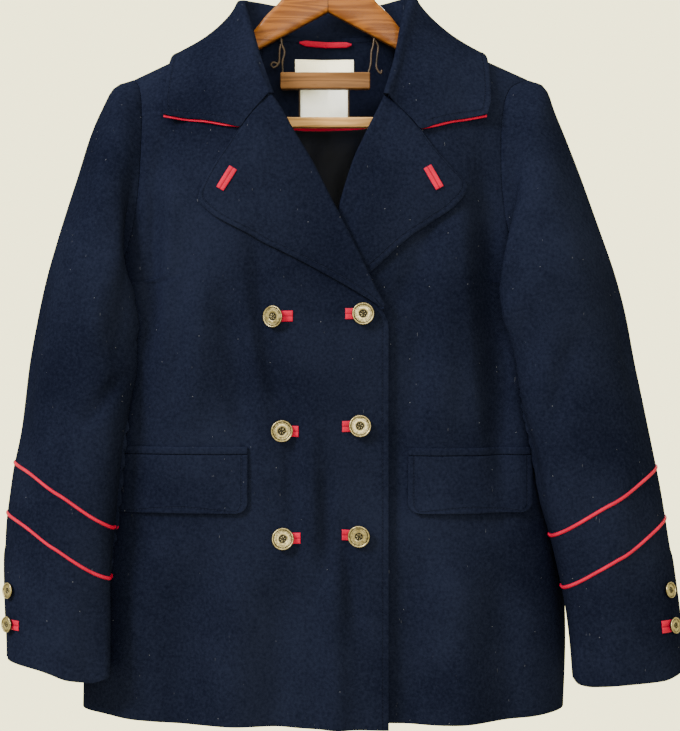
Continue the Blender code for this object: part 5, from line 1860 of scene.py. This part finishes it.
@dataclass
class Button:
    """A cast button with a raised rim, a roped ring and a small rosette."""

    node: str
    radius: float
    place: Array
    way: Array
    turn: float
    steps: int = 72
    shank_radius: float = 0.0030
    shank_height: float = 0.0016

    def profile(self) -> list[tuple[float, float]]:
        """Radius and height from the middle of the face round to the shank's foot.

        Returns:
            The pairs of radius and height.
        """
        r = self.radius
        return [
            (0.0, 0.0021), (r * 0.06, 0.0021), (r * 0.13, 0.0021), (r * 0.20, 0.0021),
            (r * 0.27, 0.0020), (r * 0.32, 0.0019), (r * 0.36, 0.0022), (r * 0.41, 0.0025),
            (r * 0.52, 0.0025), (r * 0.62, 0.0024), (r * 0.72, 0.0023), (r * 0.75, 0.0025),
            (r * 0.78, 0.0023), (r * 0.81, 0.0019), (r * 0.84, 0.0025), (r * 0.89, 0.0031),
            (r * 0.94, 0.0032), (r * 0.985, 0.0028), (r, 0.0021), (r * 0.985, 0.0013),
            (r * 0.90, 0.0004), (self.shank_radius, 0.0), (self.shank_radius, -self.shank_height),
            (0.0, -self.shank_height),
        ]

    def build(self) -> bpy.types.Object:
        """Spins the profile and raises the rope and the rosette from it.

        Returns:
            The button.
        """
        shape = bmesh.new()
        points = [shape.verts.new((radius, 0.0, height)) for radius, height in self.profile()]
        edges = [shape.edges.new(pair) for pair in zip(points, points[1:])]
        bmesh.ops.spin(shape, geom=points + edges, cent=(0, 0, 0), axis=(0, 0, 1), dvec=(0, 0, 0),
                       angle=math.tau, steps=self.steps, use_merge=True, use_duplicate=False)
        bmesh.ops.remove_doubles(shape, verts=shape.verts, dist=1e-6)
        bmesh.ops.recalc_face_normals(shape, faces=shape.faces)
        reliefs = []
        for vertex in shape.verts:
            x, y, z = vertex.co
            share = math.hypot(x, y) / self.radius
            angle = math.atan2(y, x)
            rope = max(0.0, 1.0 - abs(share - 0.75) / 0.06) * (z > 0.001)
            petal = max(0.0, 1.0 - abs(share - 0.20) / 0.15) * (z > 0.001)
            raised = 0.00012 * rope * math.cos(36 * angle) + 0.00042 * petal * math.cos(6 * angle)
            vertex.co.z += raised
            reliefs.append((z + raised - 0.00203) / 0.0006 if z > 0.001 else 0.2)
        turned = Vector(self.way).to_track_quat("Z", "Y").to_matrix().to_4x4()
        turned.translation = Vector(self.place)
        spun = turned @ Matrix.Rotation(self.turn, 4, "Z")
        bmesh.ops.transform(shape, matrix=spun, verts=shape.verts)
        made = placed(shape, "cast_" + self.node, METAL, self.node)
        carry(made.data, "relief", reliefs)
        log.info("%s: %.1f mm across", made.name, self.radius * 2000)
        return made


@dataclass
class Fastenings:
    """Six front buttons, their bound buttonholes and the two in the lapels."""

    lapel_out: float = LAPEL_OUT
    hole_height: float = 0.0115
    hole_back: float = -0.0050
    hole_front: float = 0.0185
    lapel_hole: tuple[float, float] = (0.0255, 0.0088)
    lapel_holes: tuple[tuple[Panel, float, float, float], ...] = (
        (Panel.RIGHT, -0.1040, -0.3135, 32), (Panel.LEFT, 0.1105, -0.3120, -30),
    )
    button_radius: float = 0.0115
    button_out: float = 0.0040
    buttons: Table = Table("x z turn", (
        (-0.0545, -0.4567, 4),
        (-0.0483, -0.5762, -6),
        (-0.0462, -0.6885, 12),
        (0.0370, -0.4540, 0),
        (0.0338, -0.5710, 8),
        (0.0333, -0.6854, -10),
    ))
    names: tuple[str, ...] = ("right_top", "right_middle", "right_low", "left_top", "left_middle",
                              "left_low")

    def front(self) -> None:
        """The buttons that show on the front, each on its buttonhole."""
        for name, (x, z, turn) in zip(self.names, self.buttons.rows):
            towards = 1.0 if x < 0 else -1.0
            along, up = np.meshgrid(np.linspace(0.0, 1.0, 19), np.linspace(0.5, -0.5, 17))
            across = x + towards * mixed(self.hole_back, self.hole_front, along)
            rise = lips(up) * mixed(1.0, 0.45, eased(0.93, 1.0, along))
            lean = math.tan(math.radians(turn * 0.25)) * (across - x)
            grid = COAT.laid(across, z + up * self.hole_height + lean, Panel.RIGHT, 0.0006 + rise)
            Cloth("buttonhole_" + name, grid, 0.0007, RED, Held.FOLDED, ("cloth_front_right",),
                  edge=np.abs(up) * self.hole_height, bevel=0.0002).build()
            spot_x, spot_z = np.array([x]), np.array([z])
            place = COAT.laid(spot_x, spot_z, Panel.RIGHT, np.array([self.button_out]))[0]
            way = COAT.normal(spot_x, spot_z, Panel.RIGHT)[0]
            tilt = way + np.array([0.02 * math.sin(turn), 0.0, 0.012 * turn])
            Button("button_" + name, self.button_radius, place, unit(tilt),
                   math.radians(turn)).build()

    def lapel(self, panel: Panel, x: float, z: float, lean: float) -> None:
        """The slanted red buttonhole near a lapel's tip.

        Args:
            panel: the lapel's front.
            x: the hole's middle across.
            z: the middle's height.
            lean: how far it leans, in degrees.
        """
        turn = math.radians(lean)
        length, width = self.lapel_hole
        over, along = np.meshgrid(np.linspace(-0.5, 0.5, 17), np.linspace(-0.5, 0.5, 25))
        at_x = x - math.sin(turn) * along * length + math.cos(turn) * over * width
        at_z = z - math.cos(turn) * along * length - math.sin(turn) * over * width
        rise = lips(over) - 0.0005 * eased(0.44, 0.5, np.abs(along))
        grid = COAT.laid(at_x, at_z, panel, self.lapel_out + 0.0024 + rise)
        Cloth("lapel_hole_" + panel.value, grid, 0.0020, RED, Held.FOLDED,
              ("cloth_lapel_" + panel.value,), edge=np.abs(over) * width, bevel=0.0002).build()

    def build(self) -> None:
        """All the fastenings of the front."""
        self.front()
        for row in self.lapel_holes:
            self.lapel(*row)


@dataclass
class Collar:
    """The collar in one piece, stand, roll and fall, its red undercollar and the two lapels."""

    cloth: float = 0.0025
    lapel_out: float = LAPEL_OUT
    seam_gap: float = 0.0001
    roll_radius: float = 0.0052
    notch: float = 0.37
    out: float = 0.0070
    neck_side: float = 0.48
    seam_shift: float = 0.0032
    seam_rise: float = 0.0024
    shows: float = 0.0017
    shares: tuple[float, ...] = (0.0, 0.035, 0.08, 0.16, 0.24, 0.32, 0.40, 0.48, 0.57, 0.66, 0.80,
                                 1.0)
    falls: tuple[float, ...] = (0.0, 0.06, 0.16, 0.28, 0.37, 0.50, 0.66, 0.83, 1.0)
    under_start: int = 4
    rows: int = 130
    columns: int = 54
    under_columns: int = 26
    lapel_rows: int = 96
    lapel_end: float = 0.985
    roll_inset: float = 0.004
    flat_inset: float = 0.006

    def row(self, half: Panel, at: float) -> list[Array]:
        """The roll, edge and seam points of one collar row, on its own half.

        Args:
            half: the half of the collar.
            at: share from its end to the middle of the back.

        Returns:
            The three points.
        """
        table = COLLARS[half]
        sign = half.sign
        roll, edge = (np.array([float(table.read(end + axis, at)) for axis in ("_x", "_y", "_z")])
                      for end in ("roll", "edge"))
        seam_z = float(table.read("seam_z", at))
        seam_x = float(table.read("seam_x", at))
        if at < self.neck_side:
            seam_x = abs(float(COAT.front_edge(np.array(seam_z), half)))
        else:
            seam_z = float(COAT.collar_z(np.array(seam_x)))
        facing = math.radians(float(table.read("facing", at)))
        panel = half if at < self.neck_side else Panel.BACK
        y = COAT.point(np.array(sign * seam_x), np.array(seam_z), panel)[1]
        outward = np.array([math.cos(facing), math.sin(facing), 0.0])
        shift = -self.seam_shift * (1.0 - float(eased(0.3, self.neck_side, at)))
        seam = np.array([seam_x, y, seam_z]) - outward * self.cloth
        seam = seam + np.array([shift, 0.0, self.seam_rise])
        return [p * np.array([sign, 1.0, 1.0]) for p in (roll, edge, seam)]

    def above_body(self, point: Array, half: Panel) -> Array:
        """Keeps a collar point clear of the front, back and shoulder under it.

        Args:
            point: the point.
            half: the half of the collar that it is on.

        Returns:
            The point, moved out if it was too near.
        """
        x = np.full(24, point[0])
        top = float(COAT.top_z(np.array(point[0])))
        panel = Panel.BACK if point[1] > 0 else half
        reach = max(0.03, top - point[2] + 0.03)
        profile = COAT.point(x, top - reach * (np.arange(24) / 24) ** 2, panel)
        line = profile[1:] - profile[:-1]
        share = np.clip(dot(point - profile[:-1], line) / dot(line, line), 0.0, 1.0)
        spots = profile[:-1] + line * share
        i = int(np.argmin(np.linalg.norm(point - spots, axis=1)))
        across = np.array([0.0, -line[i, 2], line[i, 1]])
        outward = unit(across if panel is Panel.BACK else -across)
        depth = float(np.dot(point - spots[i], outward))
        return point if depth >= self.out else point + outward * (self.out - depth)

    def section(self, half: Panel, at: float) -> list[Array]:
        """Points across the collar from its neck seam over the roll to its edge.

        Args:
            half: the half of the collar.
            at: share from its end to the middle of the back.

        Returns:
            The points.
        """
        roll, edge, seam = self.row(half, at)
        radius = float(mixed((self.cloth + self.lapel_out) / 2, self.roll_radius,
                             eased(0.0, 0.2, at)))
        to_edge, to_seam = unit(edge - roll), unit(seam - roll)
        crown = -unit(to_edge + to_seam)
        side = to_edge - to_seam
        side = unit(side - crown * np.dot(side, crown))
        centre = roll - crown * radius
        points = [mixed(seam, centre - side * radius, t) for t in (0.0, 0.5, 1.0)]
        for angle in (-45.0, 0.0, 45.0):
            turn = math.radians(angle)
            points.append(centre + (side * math.sin(turn) + crown * math.cos(turn)) * radius)
        start = centre + side * radius
        run = float(np.linalg.norm(edge - start))
        lapel = LAPELS[half].rows[0]
        notch = np.array([lapel[3], edge[1], lapel[4]])
        near_gorge = 1.0 - float(eased(0.0, 0.10, at))
        handle = start - crown * run * 0.35
        for share in self.falls:
            point = mixed(mixed(start, handle, share), mixed(handle, edge, share), share)
            if share <= self.notch:
                kinked = mixed(start, notch, share / self.notch)
            else:
                kinked = mixed(notch, edge, (share - self.notch) / (1.0 - self.notch))
            kinked[1] = point[1]
            points.append(self.above_body(mixed(point, kinked, near_gorge), half))
        return points

    def build(self) -> None:
        """The collar, the undercollar that shows below its edge, and both lapels."""
        stations = [(Panel.RIGHT, at) for at in self.shares]
        stations += [(Panel.LEFT, at) for at in reversed(self.shares[:-1])]
        coarse = np.array([self.section(half, at) for half, at in stations])
        coarse = trimmed(coarse, self.seam_gap, self.seam_gap, 0.0, 0.0)
        grid = refined(coarse, self.rows, self.columns)
        start, end, low, high = reaches(grid)
        waves = 0.0006 * drift(grid[..., 0] * 40.0, grid[..., 2] * 40.0 + grid[..., 1] * 30.0, 5.0)
        puff = 0.0005 * ridge(end - 0.0025, 0.0022)
        normals = normals_of(grid)
        inside = 1.0 if normals[2, -4][1] < 0 else -1.0
        away = normals * ((waves + puff) * eased(0.03, 0.05, start))[..., None] * inside
        edges = np.minimum(end, np.where(end < 0.072, np.minimum(low, high), FAR))
        Cloth("collar", grid + away, held=Held.FOLDED, outward=BACKWARDS, edge=edges,
              rests_on=("cloth_front_right", "cloth_front_left", "cloth_back")).build()
        self.undercollar(coarse)
        for panel in (Panel.RIGHT, Panel.LEFT):
            self.lapel(panel)

    def undercollar(self, coarse: Array) -> None:
        """The red cloth under the fall, which shows as a thin line along the collar's ends.

        Args:
            coarse: the collar's coarse grid.
        """
        first = coarse.shape[1] - len(self.falls) + self.under_start
        normals = normals_of(coarse)
        middle = len(coarse) // 2
        sign = -1.0 if normals[middle, -2][1] > 0 else 1.0
        under = (coarse + normals * sign * (self.cloth + 0.0004))[:, first:]
        share = np.array(self.falls[self.under_start:])
        shows = mixed(-0.0002, self.shows, eased(self.notch, self.notch + 0.1, share))[:, None]
        for end, beside in ((0, 1), (-1, -2)):
            under[end] += unit(under[end] - under[beside]) * shows
        grid = refined(trimmed(under, 0.0, 0.0, 0.0, 0.0006), self.rows, self.under_columns)
        Cloth("undercollar", grid, 0.0012, RED, Held.FOLDED, ("cloth_collar",), BACKWARDS,
              bevel=0.0004).build()

    def lapel(self, panel: Panel) -> None:
        """A lapel: the front's cloth carried round the roll and laid back on the front.

        Args:
            panel: the lapel's front.
        """
        table = LAPELS[panel]
        sign = -panel.sign
        at = np.linspace(0.0, self.lapel_end, self.lapel_rows)
        roll_x, roll_z, edge_x, edge_z = (table.read(name, at)
                                          for name in ("roll_x", "roll_z", "edge_x", "edge_z"))
        radius = (self.cloth + self.lapel_out) / 2
        base_x = roll_x - sign * self.roll_inset
        normal = COAT.normal(base_x, roll_z, panel)
        base = COAT.laid(base_x, roll_z, panel,
                         np.full(len(at), (self.lapel_out - self.cloth) / 2))
        away = unit(np.stack([roll_x - edge_x, np.zeros(len(at)), roll_z - edge_z], -1))
        away = unit(away - normal * dot(away, normal))
        centre = base + away * 0.0015
        turns = np.radians(np.linspace(-90.0, 90.0, 11))
        rolled = [centre + (away * math.cos(t) + normal * math.sin(t)) * radius for t in turns]
        across = np.linspace(0.10, 1.0, 44)[None, :]
        start_x = (roll_x - sign * self.flat_inset)[:, None]
        x = mixed(start_x, edge_x[:, None], across)
        z = mixed(roll_z[:, None], edge_z[:, None], across)
        wide = np.hypot(roll_x - edge_x, roll_z - edge_z)[:, None]
        puff = 0.0022 * np.sin(math.pi * across) * np.minimum(1.0, wide / 0.06)
        from_edge = wide * (1.0 - across)
        rim = 0.0006 * ridge(from_edge - 0.0028, 0.0022)
        waves = 0.0007 * drift(x * 38.0, z * 38.0, 2.0)
        lie = self.lapel_out + (puff + rim + waves) * eased(0.1, 0.25, across)
        flat = COAT.laid(x, z, panel, lie)
        grid = np.concatenate([np.stack(rolled, axis=1), flat], axis=1)
        grid = trimmed(grid, 0.0003, 0.0, 0.0, 0.0)
        below = unit(grid[0] - grid[1]) * 0.0030 + np.array([0.0, 0.0008, 0.0])
        grid = np.concatenate([(grid[0] + below)[None], grid])
        _, edge, _, _ = reaches(grid)
        Cloth("lapel_" + panel.value, grid, held=Held.FOLDED, edge=edge,
              rests_on=("cloth_front_" + panel.value,)).build()


@dataclass
class Pocket:
    """A welt with the flap that hangs from it, both laid on a front."""

    side: Panel
    inner_x: float
    outer_x: float
    top_z: float
    bottom_z: float
    gap: float
    corner: float = 0.012
    cloth: float = 0.0026
    welt_height: float = 0.0088
    columns: int = 64

    def build(self) -> None:
        """The welt and the flap."""
        across, up = np.meshgrid(np.linspace(0.0, 1.0, self.columns), np.linspace(1.0, 0.0, 9))
        x = mixed(self.inner_x, self.outer_x, across)
        z = self.top_z + 0.0003 + up * (self.welt_height - 0.0003)
        plump = 0.0008 * arch(2.0 * up - 1.0)
        grid = COAT.laid(x, z, self.side, self.gap + 0.0018 + plump)
        rests = ("cloth_front_" + self.side.value,)
        Cloth("welt_" + self.side.value, grid, 0.0018, held=Held.FOLDED, rests_on=rests,
              bevel=0.0006).build()
        height = self.top_z - self.bottom_z
        down = np.concatenate([np.linspace(0.0, 0.78, 18), np.linspace(0.81, 1.0, 12)])
        drop = np.maximum(0.0, self.corner - height * (1.0 - down))
        inset = self.corner - np.sqrt(np.maximum(0.0, self.corner**2 - drop**2))
        inset = np.copysign(inset, self.outer_x)[:, None]
        across = np.linspace(0.0, 1.0, self.columns)[None, :]
        x = mixed(self.inner_x + inset, self.outer_x - inset, across)
        z = np.broadcast_to((self.top_z - height * down)[:, None], x.shape)
        flare = 0.0012 * down[:, None] ** 2 + 0.0005 * drift(x * 30.0, z * 30.0, 9.0)
        grid = COAT.laid(x, z, self.side, self.gap + self.cloth + flare)
        start, end, _, high = reaches(grid)
        edge = np.minimum(np.minimum(start, end), high)
        rim = 0.0005 * ridge(edge - 0.0026, 0.0020)
        grid = COAT.laid(x, z, self.side, self.gap + self.cloth + flare + rim)
        Cloth("flap_" + self.side.value, grid, 0.0024, rests_on=rests, edge=edge).build()


def straight(z: float) -> Level:
    """An edge that stays at one height."""
    return lambda x: np.full(np.shape(x), z)


@dataclass
class NeckInside:
    """What shows inside the neck: facing, its piping, the lining, two labels and the loop."""

    half: float = 0.080
    low_x: float = -0.0060
    low_z: float = -0.2435
    side_z: float = -0.2330
    cloth: float = 0.0012
    depth: float = 0.0055
    lining_low_z: float = -0.845
    loop: tuple[float, float, float, float] = (-0.0030, -0.1490, 0.0600, 0.0060)
    piping_half: float = 0.0018
    label_depth: float = 0.0010
    label_cloth: float = 0.0006
    labels: tuple[tuple[str, Finish, float, float, float, float], ...] = (
        ("label_cream", CREAM, -0.0376, 0.0289, -0.1660, -0.1860),
        ("label_white", WHITE, -0.0319, 0.0221, -0.1935, -0.2370),
    )

    def low(self, x: Array) -> Array:
        """The curved lower edge of the back neck's facing."""
        share = np.minimum(1.0, np.abs(x - self.low_x) / self.half)
        return mixed(self.low_z, self.side_z, share**2)

    def patch(self, node: str, left: float, right: float, top: Level, bottom: Level,
              depth: float, thickness: float, finish: Finish,
              shape: tuple[int, int] = (12, 40)) -> None:
        """A thin sheet inside the back.

        Args:
            node: its CAD node.
            left: its first side, along X.
            right: its other side.
            top: gives the height of its top edge.
            bottom: gives the height of its lower edge.
            depth: how deep its face lies under the back's face.
            thickness: the cloth's thickness.
            finish: its material and slot.
            shape: its rows and columns.
        """
        down, across = np.meshgrid(np.linspace(0, 1, shape[0]), np.linspace(0, 1, shape[1]),
                                   indexing="ij")
        x = mixed(left, right, across)
        z = mixed(top(x), bottom(x), down)
        grid = COAT.laid(x, z, Panel.BACK, np.full(x.shape, -depth))
        start, end, low, high = reaches(grid)
        edge = np.minimum(np.minimum(start, end), np.minimum(low, high))
        Cloth(node, grid, thickness, finish, Held.LAID, ("cloth_back",),
              edge=None if finish is RED else edge, bevel=thickness * 0.3).build()

    def lining(self) -> None:
        """The satin below the facing, with soft upright folds."""
        down, share = np.meshgrid(np.linspace(0, 1, 110), np.linspace(0, 1, 90), indexing="ij")
        across = mixed(0.060, 0.940, share)
        side = mixed(self.side_z, self.lining_low_z, down)
        x = mixed(*sides(side), across)
        x = mixed(x * 0.80, x, eased(0.0, 0.35, down))
        z = mixed(self.low(x) - 0.0008, self.lining_low_z, down)
        folds = 0.0016 * drift(x * 55.0, z * 7.0, 1.0) + 0.0012 * drift(x * 20.0, z * 16.0, 4.0)
        depth = 0.0070 + np.maximum(0.0, folds + 0.0016) * eased(0.0, 0.04, down)
        grid = COAT.laid(x, z, Panel.BACK, -depth)
        Cloth("back_lining", grid, 0.0008, SATIN, Held.HUNG, ("cloth_back_facing",),
              bevel=0.0002).build()

    def hanging_loop(self) -> None:
        """The red tape that a peg holds, sewn flat at both ends."""
        x, z, width, height = self.loop
        up, share = np.meshgrid(np.linspace(0.5, -0.5, 9), np.linspace(-0.5, 0.5, 41),
                                indexing="ij")
        taper = 1.0 - 0.60 * eased(0.38, 0.5, np.abs(share))
        out = 0.0010 + 0.0014 * (1.0 - (2.0 * share) ** 2)
        out = out + 0.0008 * arch(2.0 * up)
        sag = -0.0008 * (1.0 - (2.0 * share) ** 2) - 0.0016 * share
        grid = COAT.laid(x + share * width, z + up * height * taper + sag, Panel.BACK,
                         -self.depth - self.cloth - out)
        Cloth("hanging_loop", grid, self.cloth, RED, Held.STRETCHED, ("cloth_back_facing",),
              bevel=0.0004).build()

    def build(self) -> None:
        """Every piece inside the neck."""
        self.patch("back_facing", -self.half, self.half, lambda x: COAT.collar_z(x) + 0.0032,
                   lambda x: self.low(x) + 0.0002, self.depth, self.cloth, NAVY, (30, 60))
        self.patch("facing_piping", -self.half, self.half,
                   lambda x: self.low(x) + self.piping_half,
                   lambda x: self.low(x) - self.piping_half, self.depth + 0.0016, 0.0010, RED,
                   (7, 60))
        for node, finish, left, right, top, bottom in self.labels:
            self.patch(node, left, right, straight(top), straight(bottom),
                       self.depth + self.label_depth, self.label_cloth, finish)
        self.lining()
        self.hanging_loop()


# The bent wires under the arms, as points along each
WIRES = {
    "bar_wire_right": ((-0.0515, 0, -0.1503), (-0.0500, 0, -0.1580), (-0.0475, 0, -0.1650),
                       (-0.0480, 0, -0.1690), (-0.0500, 0, -0.1760), (-0.0495, 0, -0.1876)),
    "bar_hook_right": ((-0.0505, 0.002, -0.1506), (-0.0530, 0.002, -0.1640),
                       (-0.0535, 0.002, -0.1740), (-0.0560, 0.002, -0.1795),
                       (-0.0600, 0.002, -0.1815), (-0.0625, 0.002, -0.1785),
                       (-0.0600, 0.002, -0.1760), (-0.0550, 0.002, -0.1775)),
    "bar_wire_left": ((0.0505, 0, -0.1498), (0.0490, 0, -0.1600), (0.0475, 0, -0.1650),
                      (0.0470, 0, -0.1760), (0.0445, 0, -0.1876)),
    "bar_hook_left": ((0.0515, 0.002, -0.1512), (0.0550, 0.002, -0.1590),
                      (0.0540, 0.002, -0.1680), (0.0530, 0.002, -0.1800),
                      (0.0555, 0.002, -0.1860), (0.0580, 0.002, -0.1880),
                      (0.0590, 0.002, -0.1845)),
    "bar_link_right": ((-0.0310, 0, -0.2065), (-0.0310, 0, -0.2366)),
    "bar_link_left": ((0.0225, 0, -0.2065), (0.0225, 0, -0.2366)),
}


@dataclass
class Hanger:
    """Two wooden arms, their hook, and two bars on wires below them."""

    arm: Table = Table("x top bottom half_y", (
        (0.0000, -0.0700, -0.1220, 0.0065),
        (0.0180, -0.0730, -0.1317, 0.0065),
        (0.0350, -0.0870, -0.1409, 0.0065),
        (0.0531, -0.1110, -0.1507, 0.0065),
        (0.0684, -0.1265, -0.1589, 0.0062),
        (0.0780, -0.1385, -0.1638, 0.0055),
        (0.0870, -0.1470, -0.1682, 0.0050),
        (0.1200, -0.1578, -0.1820, 0.0055),
        (0.1600, -0.1766, -0.1975, 0.0052),
        (0.1860, -0.1897, -0.2060, 0.0048),
    ))
    joint: float = 0.00003
    hook_radius: float = 0.0210
    hook_wire: float = 0.00175
    wire_radius: float = 0.0011
    bar_half_y: float = 0.0055
    bars: tuple[tuple[str, float, float, float, float, float], ...] = (
        ("upper", 0.0490, 0.0490, -0.1880, -0.2060, -0.0030),
        ("lower", 0.0490, 0.0435, -0.2370, -0.2480, 0.0020),
    )

    def build_arm(self, panel: Panel) -> None:
        """One arm: a round-cornered section extruded along its curve.

        Args:
            panel: the arm's side.
        """
        at = np.concatenate([[self.joint, 0.0011], np.linspace(0.004, 0.186, 54)])
        top, bottom = self.arm.read("top", at), self.arm.read("bottom", at)
        half_y = self.arm.read("half_y", at)
        turns = np.linspace(0.0, math.tau, 32, endpoint=False)

        def across(value: Array) -> Array:
            """The section's squareness, applied to a sine or cosine."""
            return np.sign(value) * np.abs(value) ** 0.5

        shape = bmesh.new()
        ring = bmesh.ops.create_circle(shape, cap_ends=True, segments=32, radius=1.0)["verts"]
        face = shape.faces[:][0]
        for x, high, low, half in zip(at, top, bottom, half_y):
            if x != at[0]:
                made = bmesh.ops.extrude_discrete_faces(shape, faces=[face])
                face = made["faces"][0]
                ring = list(face.verts)
            for vertex, turn in zip(ring, turns):
                vertex.co = (panel.sign * x, half * across(np.cos(turn)),
                             (high + low) / 2 + (high - low) / 2 * across(np.sin(turn)))
        bmesh.ops.recalc_face_normals(shape, faces=shape.faces)
        shape.normal_update()
        # Painted shade: 1 on the faces that look down and on the end face where the two arms meet,
        # which the wood darkens
        under = [max(float(eased(0.60, 0.90, -v.normal.z)), float(abs(v.co.x) < 0.001))
                 for v in shape.verts]
        made = placed(shape, "wood_arm_" + panel.value, ARM_WOODS[panel],
                      "hanger_arm_" + panel.value)
        carry(made.data, "under", under)
        log.info("hanger arm %s", panel.value)

    def wire(self, node: str, points: Array, radius: float, finish: Finish) -> None:
        """A smooth bent wire with closed ends.

        Args:
            node: the wire's CAD node.
            points: points along it.
            radius: half its thickness.
            finish: its material and slot.
        """
        line = bpy.data.curves.new("bent_" + node, "CURVE")
        line.dimensions = "3D"
        line.bevel_depth = radius
        line.bevel_resolution = 3
        line.use_fill_caps = True
        spline = line.splines.new("POLY")
        spline.points.add(len(points) - 1)
        for target, point in zip(spline.points, points):
            target.co = (*point, 1.0)
        spline.use_smooth = True
        dressed("bent_" + node, line, finish, node)
        log.info("wire %s", node)

    def build_hook(self) -> None:
        """The hook, whose inside top is the origin."""
        foot = float(self.arm.rows[0][1])
        stem = [(0.0, 0.0, foot + 0.0003), (0.0, 0.0, foot + 0.012)]
        radius = self.hook_radius + self.hook_wire
        turn = np.radians(np.linspace(-75, 205, 60))
        bend = np.stack([radius * np.cos(turn), np.zeros(60),
                         radius * np.sin(turn) - self.hook_radius], -1)
        self.wire("hook", np.concatenate([stem, bend]), self.hook_wire, STEEL)

    def build_bar(self, name: str, half_top: float, half_bottom: float, top: float,
                  bottom: float, centre: float) -> None:
        """One bar with eased edges.

        Args:
            name: which bar it is.
            half_top: half its length along the top.
            half_bottom: half its length along the bottom.
            top: its top's height.
            bottom: its bottom's height.
            centre: its middle across.
        """
        shape = bmesh.new()
        bmesh.ops.create_cube(shape, size=1.0)
        for vertex in shape.verts:
            high = vertex.co.z > 0
            half = half_top if high else half_bottom
            vertex.co = (centre + vertex.co.x * 2 * half, vertex.co.y * 2 * self.bar_half_y,
                         top if high else bottom)
        bmesh.ops.bevel(shape, geom=shape.edges[:] + shape.verts[:], offset=0.0014, segments=3,
                        profile=0.5, affect="EDGES", material=-1)
        bmesh.ops.recalc_face_normals(shape, faces=shape.faces)
        placed(shape, "wood_bar_" + name, BAR_WOODS[name], "bar_" + name)
        log.info("bar %s", name)

    def build(self) -> None:
        """Arms, hook, bars and wires."""
        self.build_arm(Panel.RIGHT)
        self.build_arm(Panel.LEFT)
        self.build_hook()
        for row in self.bars:
            self.build_bar(*row)
        for node, points in WIRES.items():
            path = np.array(points, float)
            steps = np.linalg.norm(np.diff(path, axis=0), axis=1)
            keys = np.concatenate([[0.0], np.cumsum(steps)])
            smooth = curve(keys, path, np.linspace(0.0, keys[-1], 8 * len(points)))
            self.wire(node, smooth, self.wire_radius, BRASS)


@dataclass(frozen=True)
class Lamp:
    """One soft area light."""

    name: str
    place: tuple[float, float, float]
    size: float
    power: float


@dataclass
class Studio:
    """A pale floor and world, soft lamps and the camera at the photograph's place."""

    eye: tuple[float, float, float] = (0.0131, -1.525, -0.508)
    lens: float = 68.65
    aim: tuple[float, float, float] = (0.0, 0.0, -0.50)
    floor_z: float = -1.60
    floor_size: float = 2.1
    floor_colours: tuple[Colour, Colour] = ((0.50, 0.47, 0.37), (0.54, 0.51, 0.41))
    sky: Colour = (0.98, 0.92, 0.520)
    glow: float = 3.6
    sensor: float = 36.0
    lamps: tuple[Lamp, ...] = (
        Lamp("window", (-2.3, -2.0, 1.5), 1.0, 400.0),
        Lamp("fill", (0.5, -3.3, 0.0), 1.4, 120.0),
        Lamp("overhead", (0.0, -0.6, 2.2), 1.6, 70.0),
        Lamp("behind", (0.9, 3.2, 1.3), 1.2, 260.0),
    )

    def build(self) -> None:
        """Floor, world, lamps and camera."""
        self.floor()
        world = bpy.data.worlds.new("studio")
        bpy.context.scene.world = world
        world.use_nodes = True
        sky = world.node_tree.nodes["Background"]
        sky.inputs["Color"].default_value = (*self.sky, 1.0)
        sky.inputs["Strength"].default_value = self.glow
        for lamp in self.lamps:
            light = bpy.data.lights.new(lamp.name, "AREA")
            light.size = lamp.size
            light.energy = lamp.power
            made = linked(lamp.name, light)
            made.location = lamp.place
            towards = Vector(self.aim) - Vector(lamp.place)
            made.rotation_euler = towards.to_track_quat("-Z", "Y").to_euler()
        camera = bpy.data.cameras.new("camera")
        camera.lens = self.lens
        camera.sensor_width = self.sensor
        camera.sensor_fit = "AUTO"
        camera.clip_end = 60.0
        made = linked("camera", camera)
        made.location = self.eye
        made.rotation_euler = (math.pi / 2, 0.0, 0.0)
        bpy.context.scene.camera = made
        log.info("studio")

    def floor(self) -> None:
        """A round pale floor well below the hem."""
        shape = bmesh.new()
        bmesh.ops.create_circle(shape, cap_ends=True, segments=96, radius=self.floor_size)
        bmesh.ops.translate(shape, verts=shape.verts, vec=(0.0, 0.0, self.floor_z))
        mesh = meshed(shape, "floor")
        g = Graph("floor")
        colour = g.mix(g.noise(3.0), *self.floor_colours)
        mesh.materials.append(g.finish(colour, 0.7))
        linked("floor", mesh)


# Each pocket: its side, its ends across, its flap's top and lower edge, how far it lies out
POCKETS = (
    (Panel.RIGHT, -0.0830, -0.2280, -0.6015, -0.6625, 0.0008),
    (Panel.LEFT, 0.0850, 0.2150, -0.6030, -0.6630, 0.0018),
)


def main() -> None:
    """Builds the coat, its hanger and the studio."""
    logging.basicConfig(level=logging.INFO, format="%(name)s: %(message)s")
    Studio().build()
    Body().build()
    for side in (Panel.RIGHT, Panel.LEFT):
        Sleeve(side).build()
    Collar().build()
    for row in POCKETS:
        Pocket(*row).build()
    Fastenings().build()
    NeckInside().build()
    Hanger().build()


if __name__ == "__main__":
    main()
